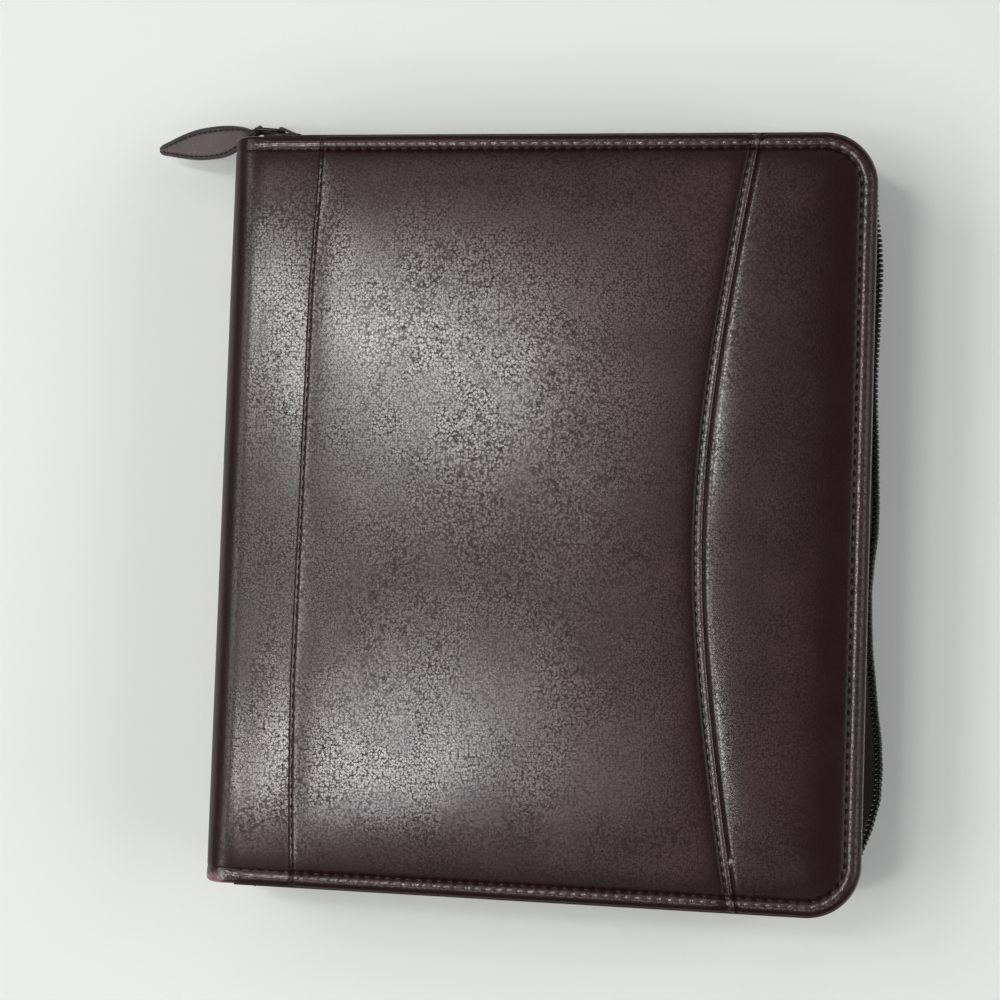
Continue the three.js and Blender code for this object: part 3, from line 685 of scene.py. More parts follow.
@dataclass(frozen=True)
class Cloth(Finish):
    """A plain weave: two sets of waves at right angles."""

    name: str = "dark_lining"
    deep: tuple = (0.018, 0.009, 0.010)
    pale: tuple = (0.034, 0.019, 0.020)
    pitch: float = 0.55

    def build(self) -> bpy.types.Material:
        """The sum of two sines, one along X and one along Y with Z.

        Returns:
            The material.
        """
        t = Tree(self.name)
        rate = 2 * math.pi / self.pitch
        over = t.math("SINE", t.axis("X") * rate)
        under = t.math("SINE", (t.axis("Y") + t.axis("Z")) * rate)
        weave = (over * under) * 0.5 + 0.5
        cloud = t.noise(60.0, 3.0)
        colour = t.mix((weave * 0.6 + cloud * 0.4).span(0.2, 0.8), self.deep, self.pale)
        return t.dress(Base_Color=colour, Roughness=0.72 + cloud * 0.2, Specular_IOR_Level=0.08,
                       Normal=t.bump(weave, 0.0001))


@dataclass(frozen=True)
class Metal(Finish):
    """Plated metal with fine rubbed marks."""

    name: str = "nickel"
    colour: tuple = (0.58, 0.57, 0.55)
    dark: tuple = (0.40, 0.39, 0.37)
    rough: float = 0.2

    def build(self) -> bpy.types.Material:
        """Stretched noise for the rubbing and broad noise for tarnish.

        Returns:
            The material.
        """
        t = Tree(self.name)
        rub = t.noise(900.0, 3.0, 0.6, where=t.stretch((1.0, 0.08, 1.0)))
        tarnish = t.noise(130.0, 3.0)
        colour = t.mix(tarnish.span(0.35, 0.75), self.colour, self.dark)
        return t.dress(Base_Color=colour, Metallic=1.0, Roughness=self.rough + rub * 0.12 + tarnish * 0.06,
                       Normal=t.bump(rub, 0.00001))


@dataclass(frozen=True)
class Coil(Finish):
    """Glossy black-brown nylon with bronze where the slider has rubbed it."""

    name: str = "nylon_coil"

    def build(self) -> bpy.types.Material:
        """Spots of wear in the colour.

        Returns:
            The material.
        """
        t = Tree(self.name)
        wear = t.noise(700.0, 2.0).span(0.55, 0.75)
        colour = t.mix(wear, (0.012, 0.011, 0.009), (0.060, 0.045, 0.028))
        return t.dress(Base_Color=colour, Roughness=0.26 + wear * 0.15,
                       Normal=t.bump(t.noise(1800.0), 0.00003))


@dataclass(frozen=True)
class Paper(Finish):
    """A stack of sheets: fine layers at its edges and faint rules on its faces."""

    name: str = "page_paper"
    pale: tuple = (0.84, 0.81, 0.73)
    half_rule: float = 3.55

    def build(self) -> bpy.types.Material:
        """Layers are noise stretched flat; rules are narrow bands of Y seen on level faces.

        Returns:
            The material.
        """
        t = Tree(self.name)
        layers = t.noise(3.0, 1.0, where=t.stretch((1.0, 1.0, 3400.0)))
        level = Sock(t, t.node("ShaderNodeSeparateXYZ", _0=t.node("ShaderNodeTexCoord")
                               .outputs["Normal"]).outputs["Z"])
        flat = t.math("ABSOLUTE", level).span(0.6, 0.9)
        fibre = t.noise(420.0, 4.0, 0.6)
        colour = t.mix(fibre.span(0.3, 0.8) * 0.35, self.pale, tuple(0.93 * c for c in self.pale))
        colour = t.mix((1.0 - flat) * layers.span(0.35, 0.7) * 0.5, colour, (0.58, 0.54, 0.46))
        row = t.math("ABSOLUTE", t.math("PINGPONG", t.axis("Y") + 0.35, self.half_rule))
        colour = t.mix(flat * (1.0 - row.span(0.1, 0.28)) * 0.55, colour, (0.42, 0.50, 0.60))
        height = (1.0 - flat) * layers + fibre * 0.15
        return t.dress(Base_Color=colour, Roughness=0.86 + fibre * 0.1, Normal=t.bump(height, 0.00008))


@dataclass(frozen=True)
class Card(Finish):
    """Buff card with fibres; past the pages' edge its index tabs are tinted one by one."""

    name: str = "divider_card"
    tinted: bool = True
    base: tuple = (0.62, 0.55, 0.38)
    page_edge: float = 67.6
    page_height: float = 216.0

    def build(self) -> bpy.types.Material:
        """The tint is a ramp of steps over Y, shown where X is past the page edge.

        Returns:
            The material.
        """
        t = Tree(self.name)
        fibre = t.noise(600.0, 4.0, 0.65)
        colour = t.mix(fibre.span(0.3, 0.75) * 0.5, self.base, tuple(0.82 * c for c in self.base))
        if self.tinted:
            ramp = t.node("ShaderNodeValToRGB", 
                          _0=(t.axis("Y") + self.page_height / 2) * (1 / self.page_height))
            ramp.color_ramp.interpolation = "CONSTANT"
            tints = [(0.42, 0.10, 0.09), (0.60, 0.36, 0.08), (0.16, 0.33, 0.16), (0.09, 0.21, 0.38),
                     (0.30, 0.14, 0.33)]
            steps = ramp.color_ramp.elements
            while len(steps) < len(tints):
                steps.new(0.5)
            for k, tint in enumerate(tints):
                steps[k].position = k / len(tints)
                steps[k].color = (*tint, 1.0)
            colour = t.mix(t.axis("X").span(self.page_edge, self.page_edge + 0.3), colour, ramp.outputs[0])
        return t.dress(Base_Color=colour, Roughness=0.7 + fibre * 0.15, Normal=t.bump(fibre, 0.00004))


@dataclass(frozen=True)
class Board(Finish):
    """Grey binder's board with flecks."""

    name: str = "grey_board"
    colour: tuple = (0.26, 0.23, 0.19)

    def build(self) -> bpy.types.Material:
        """Flecks from noise of two sizes.

        Returns:
            The material.
        """
        t = Tree(self.name)
        fleck = t.noise(1500.0, 4.0, 0.7)
        colour = t.mix(fleck.span(0.35, 0.7), self.colour, tuple(0.6 * c for c in self.colour))
        return t.dress(Base_Color=colour, Roughness=0.85 + fleck * 0.1, Normal=t.bump(fleck, 0.0001))


@dataclass(frozen=True)
class Frosted(Finish):
    """Thin frosted plastic."""

    name: str = "frosted_plastic"

    def build(self) -> bpy.types.Material:
        """Fine frosting with a little colour drift.

        Returns:
            The material.
        """
        t = Tree(self.name)
        frost = t.noise(2400.0, 2.0)
        colour = t.mix(t.noise(30.0), (0.50, 0.56, 0.57), (0.56, 0.61, 0.61))
        return t.dress(Base_Color=colour, Roughness=0.32 + frost * 0.1, Alpha=0.72,
                       Normal=t.bump(frost, 0.00002))


LEATHER = Leather()
TAB_LEATHER = Leather("tab_leather", (0.050, 0.042, 0.038), (0.085, 0.072, 0.067),
                      (0.155, 0.122, 0.117), (0.215, 0.175, 0.165), rough=0.5, gloss=0.25)
THREAD = Thread()
LINING = Cloth()
TAPE = Cloth("woven_tape", (0.004, 0.0012, 0.0018), (0.010, 0.003, 0.004), 0.7)
NICKEL = Metal()
# The bead's pale colour paints the light that catches its edge.
BEAD = Leather("edge_bead_painted_highlight", (0.15, 0.10, 0.105), (0.26, 0.20, 0.205), rough=0.4, gloss=0.4)
DARK_METAL = Metal("dark_metal", (0.055, 0.048, 0.044), (0.022, 0.019, 0.018), 0.30)
COIL = Coil()
PAPER = Paper()
CARD = Card()
BACKING = Card("pad_backing_card", False, (0.30, 0.25, 0.19))


# Leather covers


@dataclass(frozen=True)
class Edge:
    """The turned edge that runs round the covers: a rolled rim with stitches inside it.

    The profile is distance in from the edge and height over the sewn level, from the hidden lip
    under the rim, round the outside, over the crest and down to the stitches.
    """

    level: float = 49.25
    stitch_in: float = 4.5
    thickness: float = 1.2
    crown: float = 1.6
    flat_crown: float = 0.35
    crown_reach: float = 16.0
    outside: tuple = ((3.1, -3.0), (1.3, -3.1), (0.2, -2.8), (-0.45, -2.0), (-0.45, -1.05), (0.2, -0.15),
                      (1.3, 0.42), (2.4, 0.6), (3.4, 0.38), (4.0, 0.02), (4.5, -0.16), (5.0, -0.05),
                      (5.8, 0.03))

    def profile(self) -> tuple[np.ndarray, np.ndarray]:
        """The smooth profile and its outward unit normals.

        Returns:
            The profile's points and their normals, one a row.
        """
        line = spline(self.outside, 3)
        way = unit(np.gradient(line, axis=0))
        return line, np.stack([-way[:, 1], way[:, 0]], axis=-1)

    def sewn(self, x: np.ndarray, y: np.ndarray) -> np.ndarray:
        """How near a place is to lying between two of the edge's stitches, from 0 to 1.

        It is a raised cosine of the distance along the row of stitches from its left end, round the
        corner of radius CORNER - stitch_in, to the zipper side's middle.

        Args:
            x: Places in X.
            y: Places in Y.

        Returns:
            The nearness at each place.
        """
        r, cx, cy = Case.CORNER - self.stitch_in, Case.CORNER_X, Case.CORNER_Y
        start = Case.STITCHED_FROM
        turn = np.arctan2(np.maximum(x - cx, 0.0), np.maximum(np.abs(y) - cy, 0.0))
        run = np.minimum(x, cx) - start + r * turn + cy - np.minimum(np.abs(y), cy)
        half = cx - start + r * np.pi / 2 + cy
        pitch = 2 * half / int(2 * half / Stitch.pitch)
        return 0.5 + 0.5 * np.cos(2 * np.pi * run / pitch)

    def sewing(self, x: np.ndarray, y: np.ndarray, inside: np.ndarray) -> tuple[np.ndarray, np.ndarray]:
        """What the stitches do to the rim.

        Args:
            x: Places in X.
            y: Places in Y.
            inside: Their distances inside the edge.

        Returns:
            The height that they add, down under each stitch and up between them on the crest, and the
            mark: the crest rubbed pale with a painted highlight, less painted shade in the seam and on the
            rim's outside.
        """
        near = self.sewn(x, y)
        height = (0.24 * dip(inside - 3.0, 0.9) * near
                  - 0.25 * dip(inside - self.stitch_in, 0.8) * (1 - near))
        # Crest: rubbed pale and a painted highlight between the stitches. Shade: painted shade in a band
        # inside the stitches.
        crest = dip(inside - 2.9, 1.0) * (0.3 + 0.7 * near)
        past = np.maximum(inside - self.stitch_in, 0.0)
        shade = 1.05 * dip(past, 5.2) * smoothstep((inside - 3.9) / 0.6)
        # The last term is painted shade on the rim's outside.
        return height, crest - shade - 0.95 * dip(inside, 1.6)

    def crowned(self, side: Side, distance: np.ndarray) -> np.ndarray:
        """How far foam lifts a cover a distance inside its stitches; the underside rests almost flat."""
        height = self.crown if side is Side.FRONT else self.flat_crown
        return height * swell(distance, self.crown_reach)

    def span(self, low: float, high: float, step: float) -> tuple[np.ndarray, np.ndarray, np.ndarray]:
        """Profile rows right across a cover: the profile at both edges and even steps between.

        Args:
            low: Where the low edge is.
            high: Where the high edge is.
            step: How far apart the rows between are.

        Returns:
            Positions across, heights over the sewn level, and normals with an across part and an up part.
        """
        line, normal = self.profile()
        inside = np.arange(low + line[-1, 0] + step, high - line[-1, 0] - step / 2, step)
        across = np.concatenate([low + line[:, 0], inside, high - line[::-1, 0]])
        height = np.concatenate([line[:, 1], np.full(len(inside), line[-1, 1]), line[::-1, 1]])
        lean = np.concatenate([-normal[:, 0], np.zeros(len(inside)), normal[::-1, 0]])
        rise = np.concatenate([normal[:, 1], np.ones(len(inside)), normal[::-1, 1]])
        return across, height, np.stack([-lean, rise], axis=-1)


def pocket_edge(y: np.ndarray) -> np.ndarray:
    """Where the curved pocket's folded edge is at a height: a hyperbola, nearest at y = -4."""
    return 56.0 + 0.195 * (np.hypot(y + 4.0, 70.0) - 70.0)


def seam_edge(y: np.ndarray) -> np.ndarray:
    """Where the middle panel's folded edge is at a height; sewing has drawn it a little off straight."""
    at = [-127.0, -96.0, -58.0, 0.0, 50.0, 78.0, 105.0, 127.0]
    return np.interp(y, at, [-79.8, -81.0, -81.9, -81.3, -80.9, -80.6, -79.4, -79.0])


def drift(x: np.ndarray, y: np.ndarray) -> np.ndarray:
    """Slow rise and fall of the padding under the leather, up to 0.2 mm."""
    return (0.09 * np.sin(x / 23.0 + y / 41.0 + 0.6) + 0.07 * np.sin(y / 19.0 - x / 57.0 + 2.1)
            + 0.05 * np.sin(x / 11.0 - y / 15.0 + 4.0))


@dataclass
class FrontLeather:
    """The front cover's outer leather: the middle panel with its curved edge, and the panel under it."""

    edge: Edge = field(default_factory=Edge)
    step: float = 0.8
    padding: float = 0.8
    reach: float = 6.0
    seam_stitch: float = 1.45
    pocket_stitch: float = 3.0
    pitch: float = 3.3
    sunk: float = 0.22

    def middle_height(self, x: np.ndarray, y: np.ndarray) -> np.ndarray:
        """Height of the middle panel over the rim's profile: padding between seams, less each groove.

        Args:
            x: Places in X.
            y: Places in Y.

        Returns:
            The height at each place.
        """
        left, right = x - seam_edge(y), pocket_edge(y) - x
        ends = Case.TOP - np.abs(y) - self.edge.stitch_in
        pad = (self.padding * swell(left - self.seam_stitch, self.reach) * swell(ends, self.reach)
               * swell(right - self.pocket_stitch, self.reach * 1.3))
        folds = -0.8 * dip(left, 0.3) - 1.2 * dip(right, 0.55)
        grooves = (-0.36 * dip(left - self.seam_stitch, 0.36)
                   - 0.42 * dip(right - self.pocket_stitch, 0.6))
        ridge = 0.12 * dip(right - 1.5, 0.9) + 0.12 * dip(left - 0.55, 0.3)
        crown = self.edge.crowned(Side.FRONT, ends)
        return pad * (1 + drift(x, y)) + crown + folds + grooves + ridge

    def scallop(self, run: np.ndarray, off: np.ndarray) -> np.ndarray:
        """How stitches pull the leather down between holes: a bell across, a raised cosine along."""
        return -self.sunk * dip(off, 0.9) * (0.5 - 0.5 * np.cos(2 * np.pi * run / self.pitch))

    def middle(self) -> bpy.types.Object:
        """The panel from the spine's seam to the curved pocket's folded edge.

        Returns:
            The padded piece.
        """
        y, rise, lean = self.edge.span(-Case.TOP, Case.TOP, self.step)
        near = np.array([0.0, 0.1, 0.22, 0.4, 0.6, 0.85, 1.1, 1.4, 1.75, 2.2, 2.8])
        far = np.array([4.2, 3.6, 3.2, 2.8, 2.4, 1.9, 1.4, 1.0, 0.7, 0.45, 0.25, 0.1, 0.0])
        share = np.linspace(0, 1, 178)[1:-1]
        a, b = seam_edge(y)[:, None], pocket_edge(y)[:, None]
        inner = (a + near[-1]) * (1 - share) + (b - far[0]) * share
        x = np.hstack([a + near, inner, b - far])
        yy = np.broadcast_to(y[:, None], x.shape)
        lift = self.middle_height(x, yy)
        sewn, mark = self.edge.sewing(x, yy, Case.TOP - np.abs(yy))
        lift += sewn + 0.5 * self.scallop(yy, x - a - self.seam_stitch)
        lift += self.scallop(yy, b - x - self.pocket_stitch)
        under_x = x[:, ::-12]
        near_pocket = smoothstep((under_x - b + 9.0) / 3.0)
        under = -np.broadcast_to(self.edge.thickness, under_x.shape) * (1.25 - 0.25 * near_pocket)
        loop_x = np.hstack([x, under_x])
        loop_up = np.hstack([lift, under])
        points = np.stack([loop_x, y[:, None] + lean[:, :1] * loop_up,
                           self.edge.level + rise[:, None] + lean[:, 1:] * loop_up], axis=-1)
        past = b - x - self.pocket_stitch
        # Painted highlight on the ridge by the pocket's fold, and painted shade in a band beside its
        # stitches.
        mark += dip(b - x - 1.5, 0.8) * 0.55
        mark -= 0.95 * dip(np.maximum(past, 0.0), 4.8) * smoothstep((past + 0.5) / 0.5)
        mark = np.hstack([np.maximum(mark, -1.0), np.zeros_like(under_x)])
        piece = Shape().grid(points, mark=mark).make(
            "middle_panel", LEATHER, Body.FRONT, "leather", "front_middle_panel", "front_foam")
        return piece

    def top_of(self, x: np.ndarray, y: np.ndarray) -> np.ndarray:
        """Height of the middle panel's top at places inside its rim."""
        return self.edge.level + self.middle_height(x, y)

    def seams(self) -> None:
        """Stitches beside the spine's seam and beside the pocket's folded edge."""
        y = np.linspace(-Case.TOP + 5.2, Case.TOP - 5.2, 400)
        seam, pocket = Stitch(self.pitch, 0.66, 0.24, 9.0), Stitch(self.pitch, 0.64, 0.24, -6.0)
        for name, x, stitch in (("seam_stitches", seam_edge(y) + self.seam_stitch, seam),
                                ("pocket_stitches", pocket_edge(y) - self.pocket_stitch, pocket)):
            path = np.stack([x, y, self.top_of(x, y) - self.sunk], axis=-1)
            stitch.sew(name, Body.FRONT, "leather", (path, [0.0, 0.0, 1.0]))

    def build(self) -> None:
        """Makes the two panels and their stitches."""
        self.middle()
        CoverPanel(Side.FRONT, "pocket_panel", ("front_pocket_panel",)).build()
        self.seams()


@dataclass
class CoverPanel:
    """A panel with a rolled rim and rounded corners at the zipper side.

    The grid's rows are rings: they come out under the panel from its middle line, go round the lip
    and the rim, and run back over the top to the middle line.
    """

    side: Side
    name: str
    nodes: tuple[str, ...]
    edge: Edge = field(default_factory=Edge)
    step: float = 0.8
    padding: float = 0.8
    reach: float = 7.0
    ringed: float = 12.5
    under: float = 2.4

    def left(self, y: np.ndarray) -> np.ndarray:
        """Where the panel's left edge is: under the pocket's fold in front, at the seam behind."""
        return pocket_edge(y) - 6.0 if self.side is Side.FRONT else np.full_like(y, Case.SEAM)

    def outline(self) -> tuple[np.ndarray, np.ndarray]:
        """Points round the panel and the inward direction at each, as long as a mitre needs.

        Returns:
            The points and the directions, one a row.
        """
        r, cx, cy = Case.CORNER, Case.CORNER_X, Case.CORNER_Y
        turn = np.linspace(0, np.pi / 2, 34)
        y = np.arange(-cy, cy, self.step)
        right = np.stack([np.full_like(y, Case.RIGHT), y], -1)
        upper = np.stack([cx + r * np.cos(turn), cy + r * np.sin(turn)], -1)
        lower = np.stack([upper[:, 0], -upper[:, 1]], -1)[::-1]
        x = np.arange(cx - self.step, self.left(np.array([Case.TOP]))[0], -self.step)
        top = np.stack([x, np.full_like(x, Case.TOP)], -1)
        ly = np.linspace(Case.TOP, -Case.TOP, 120)
        side = np.stack([self.left(ly), ly], -1)
        bottom = np.stack([x, np.full_like(x, -Case.TOP)], -1)[::-1]
        edge = np.vstack([right, upper, top, side, bottom, lower[:-1]])
        inward = np.vstack([
            np.tile([-1.0, 0.0], (len(right), 1)), -np.stack([np.cos(turn), np.sin(turn)], -1),
            np.tile([0.0, -1.0], (len(top), 1)), np.tile([1.0, 0.0], (len(side), 1)),
            np.tile([0.0, 1.0], (len(bottom), 1)),
            np.stack([-np.cos(turn), np.sin(turn)], -1)[::-1][:-1]])
        return edge, inward

    def inside(self, x: np.ndarray, y: np.ndarray) -> np.ndarray:
        """Distance in from the top, right or bottom edge, round its corners.

        Args:
            x: Places in X.
            y: Places in Y.

        Returns:
            The distance at each place.
        """
        qx, qy = x - Case.CORNER_X, np.abs(y) - Case.CORNER_Y
        outside = np.hypot(np.maximum(qx, 0), np.maximum(qy, 0))
        return Case.CORNER - outside - np.minimum(np.maximum(qx, qy), 0)

    def lift(self, x: np.ndarray, y: np.ndarray) -> np.ndarray:
        """Padding over the sewn level, lower beside and under the panel that laps the left side.

        Args:
            x: Places in X.
            y: Places in Y.

        Returns:
            The height at each place.
        """
        inner = self.inside(x, y) - self.edge.stitch_in
        scallop, _ = self.edge.sewing(x, y, self.inside(x, y))
        if self.side is Side.BACK:
            groove = -0.3 * dip(x - self.left(y) - 1.45, 0.5)
            pad = 0.35 * swell(x - self.left(y) - 1.3, 9.0) * swell(inner, self.reach)
            return pad + self.edge.crowned(self.side, inner) + groove + scallop
        past = x - pocket_edge(y)
        pad = self.padding * swell(inner, self.reach) * swell(past + 1.5, 5.0)
        pad = pad * (1 + 1.5 * drift(x, y))
        pad += self.edge.crowned(self.side, inner)
        return pad - 1.25 * (1 - smoothstep((past + 1.6) / 3.2)) + scallop

    def build(self) -> bpy.types.Object:
        """Makes the panel: rings from under it out to the rim, and back over its top.

        A ring at the rim is the outline moved inwards by the profile's distance. Past the profile the
        rings fade straight to the middle line, and their height is the profile's plus the padding's.

        Returns:
            The padded piece.
        """
        edge, inward = self.outline()
        line, _ = self.edge.profile()
        depth = np.concatenate([line[:, 0], np.linspace(line[-1, 0], self.ringed, 9)[1:]])
        rise = np.concatenate([line[:, 1], np.full(8, line[-1, 1])])
        rings = edge[None] + inward[None] * depth[:, None, None]
        side = inward[:, 0] > 0.9
        across = edge[None, side, 1] * (1 - depth[:, None] / Case.TOP)
        rings[:, side] = np.stack([self.left(across) + 0.04 * depth[:, None], across], axis=-1)
        cx = (Case.RIGHT + edge[:, 0].min()) / 2
        reach_y = Case.TOP - (Case.RIGHT - cx)
        middle = np.stack([np.full(len(edge), cx), np.clip(edge[:, 1], -reach_y, reach_y)], -1)
        fade = np.linspace(0, 0.99, 30)[1:, None, None]
        plan = np.concatenate([rings, rings[-1:] * (1 - fade) + middle[None] * fade])
        base = np.concatenate([rise, np.full(len(fade), rise[-1])])[:, None]
        lip = self.edge.level - Case.THICKNESS
        top = lip + base + self.lift(plan[..., 0], plan[..., 1])
        under_plan = np.stack([plan[0] * (1 - s) + middle * s for s in (1.0, 0.5, 0.02)])
        height = np.vstack([np.full((len(under_plan), len(edge)), -self.under), top])
        plan_all = np.concatenate([under_plan, plan])
        z = self.side.z(-height)
        points = np.concatenate([plan_all, z[..., None]], axis=-1)
        x, y = plan_all[..., 0], plan_all[..., 1]
        _, mark = self.edge.sewing(x, y, self.inside(x, y))
        # Painted shade, deepening towards the zipper side inside the rim, and in front a painted shadow
        # beside the pocket's fold.
        mark -= dip(np.maximum(Case.RIGHT - x - 7.0, 0.0), 15.0) * (self.inside(x, y) > 4.4)
        if self.side is Side.FRONT:
            mark -= 0.9 * dip(x - pocket_edge(y) - 0.2, 0.7)
        piece = Shape().grid(points, mark=np.maximum(mark, -1.0)).make(
            self.name, LEATHER, self.side.body, "leather", *self.nodes)
        return piece


@dataclass
class EdgeStitches:
    """The row of stitches inside the rim round the top, the zipper side and the bottom of a cover."""

    side: Side
    edge: Edge = field(default_factory=Edge)
    sunk: float = 0.3

    def build(self) -> None:
        """Lays the threads on the panels' tops."""
        edge, out = round_case(np.linspace(Case.STITCHED_FROM, Case.CORNER_X - 1, 300), np.array([]), 20)
        x, y = (edge - self.edge.stitch_in * out).T
        level = self.edge.level - self.sunk - Case.THICKNESS
        height = np.full(len(x), level)
        if self.side is Side.FRONT:
            height = np.where(x < seam_edge(y), level - 0.45, level)
            height = np.where(x > pocket_edge(y), level - 0.1, height)
        path = np.stack([x, y, self.side.z(-height)], -1)
        Stitch().sew(f"{self.side.word}_edge_stitches", self.side.body, "leather",
                     (path, [0.0, 0.0, float(self.side.value)]))


@dataclass
class SpineLeather:
    """The leather from each cover's seam to the middle of the spine, one piece across each crease."""

    side: Side
    edge: Edge = field(default_factory=Edge)
    thickness: float = 1.2
    tuck: float = 4.0
    bulge: float = 2.0

    def path(self) -> tuple[np.ndarray, np.ndarray]:
        """Points in X and Z from under the seam to the spine's middle, and the outward normals.

        Returns:
            The points and the normals, one a row.
        """
        level = Case.THICKNESS - 1.25
        r = Case.EDGE_R
        x = np.linspace(Case.SEAM + self.tuck, Case.LEFT + r, 22)
        flat = np.stack([x, np.full_like(x, level)], -1)
        turn = np.radians(np.linspace(90, 180, 22))[1:]
        arc = np.stack([Case.LEFT + r + r * np.cos(turn), level - r + r * np.sin(turn)], -1)
        z = np.linspace(level - r, Case.MIDDLE, 12)[1:]
        wall = np.stack([np.full_like(z, Case.LEFT), z], -1)
        line = np.vstack([flat, arc, wall])
        normal = np.vstack([np.tile([0.0, 1.0], (len(flat), 1)), np.stack([np.cos(turn), np.sin(turn)], -1),
                            np.tile([-1.0, 0.0], (len(wall), 1))])
        out = self.bulge * smoothstep((travelled(line) - 22.0) / 13.0)
        return line + normal * out[:, None], normal

    def build(self) -> None:
        """Carries the rim's profile along the path and blends it across the crease."""
        y, rise, lean = self.edge.span(-Case.TOP, Case.TOP, 1.4)
        line, normal = self.path()
        run = travelled(line)
        ends = Case.TOP - np.abs(y) - self.edge.stitch_in
        puff = 0.45 * swell(ends, 6.0)[:, None] * (swell(run - 3.0, 6.0) * dip(run - 12.0, 17.0))[None]
        crown = self.edge.crowned(self.side, ends)
        puff = puff + crown[:, None] * (1 - smoothstep((run - 22.0) / 14.0))[None]
        rolled = 1 - 0.85 * smoothstep((run - 19.0) / 10.0)[None]
        high = np.maximum(rise, 0.0)[:, None] * rolled + np.minimum(rise, 0.0)[:, None]
        outer = high + lean[:, 1:] * puff
        inner = rise[:, None] - lean[:, 1:] * self.thickness
        sway_out = y[:, None] + lean[:, :1] * puff
        sway_in = y[:, None] - lean[:, :1] * self.thickness + np.zeros(len(line))

        def placed(height: np.ndarray, across: np.ndarray) -> np.ndarray:
            """Points a height out from the path, at the given places along the spine.

            Args:
                height: Rows along the spine by points of the path.
                across: Places along the spine.

            Returns:
                The points, rows by columns by three.
            """
            height = np.broadcast_to(height, (len(y), len(line)))
            x = line[None, :, 0] + normal[None, :, 0] * height
            z = line[None, :, 1] + normal[None, :, 1] * height
            return np.stack([x, np.broadcast_to(across, x.shape), z], -1)

        points = np.concatenate([placed(outer, sway_out), placed(inner, sway_in)[:, ::-1]], axis=1)
        _, crest = self.edge.sewing(line[None, :, 0], y[:, None], Case.TOP - np.abs(y)[:, None])
        crest = crest * (1 - smoothstep((run - 20.0) / 8.0))[None]
        corner = dip(y + 126.0, 2.6)[:, None] * dip(run - 31.0, 6.0)[None]
        # Painted shade over the spine's rounded edge, weaker down its side and none at the scuffed corner.
        painted_shade_on_round = smoothstep((run - 21.0) / 6.0) * (1 - 0.6 * smoothstep((run - 36.0) / 5.0))
        mark = np.maximum(crest - 0.75 * painted_shade_on_round[None] * (1 - dip(corner - 1.0, 0.6)), -1.0)
        mark = np.hstack([mark + 2.2 * corner, np.zeros_like(crest)])
        points[..., 2] = self.side.z(Case.THICKNESS - points[..., 2])
        word = self.side.word
        nodes = (f"{word}_spine_strip",) + (("spine_leather",) if self.side is Side.BACK else ())
        piece = Shape().grid(points, mark=mark).make(
            f"{word}_spine_leather", LEATHER, None, "leather", *nodes)
        self.across(piece)

    def across(self, piece: bpy.types.Object) -> None:
        """Bakes a piece's placement into its mesh, the same on either side.

        Args:
            piece: The piece.
        """
        inner, outer = ((x * MM, 0, self.side.z(depth) * MM)
                        for x, depth in ((-100.6, 1.6), (-108.0, 9.0)))
        if self.side is Side.FRONT:
            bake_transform(piece)
        else:
            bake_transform(piece)


# Zipper


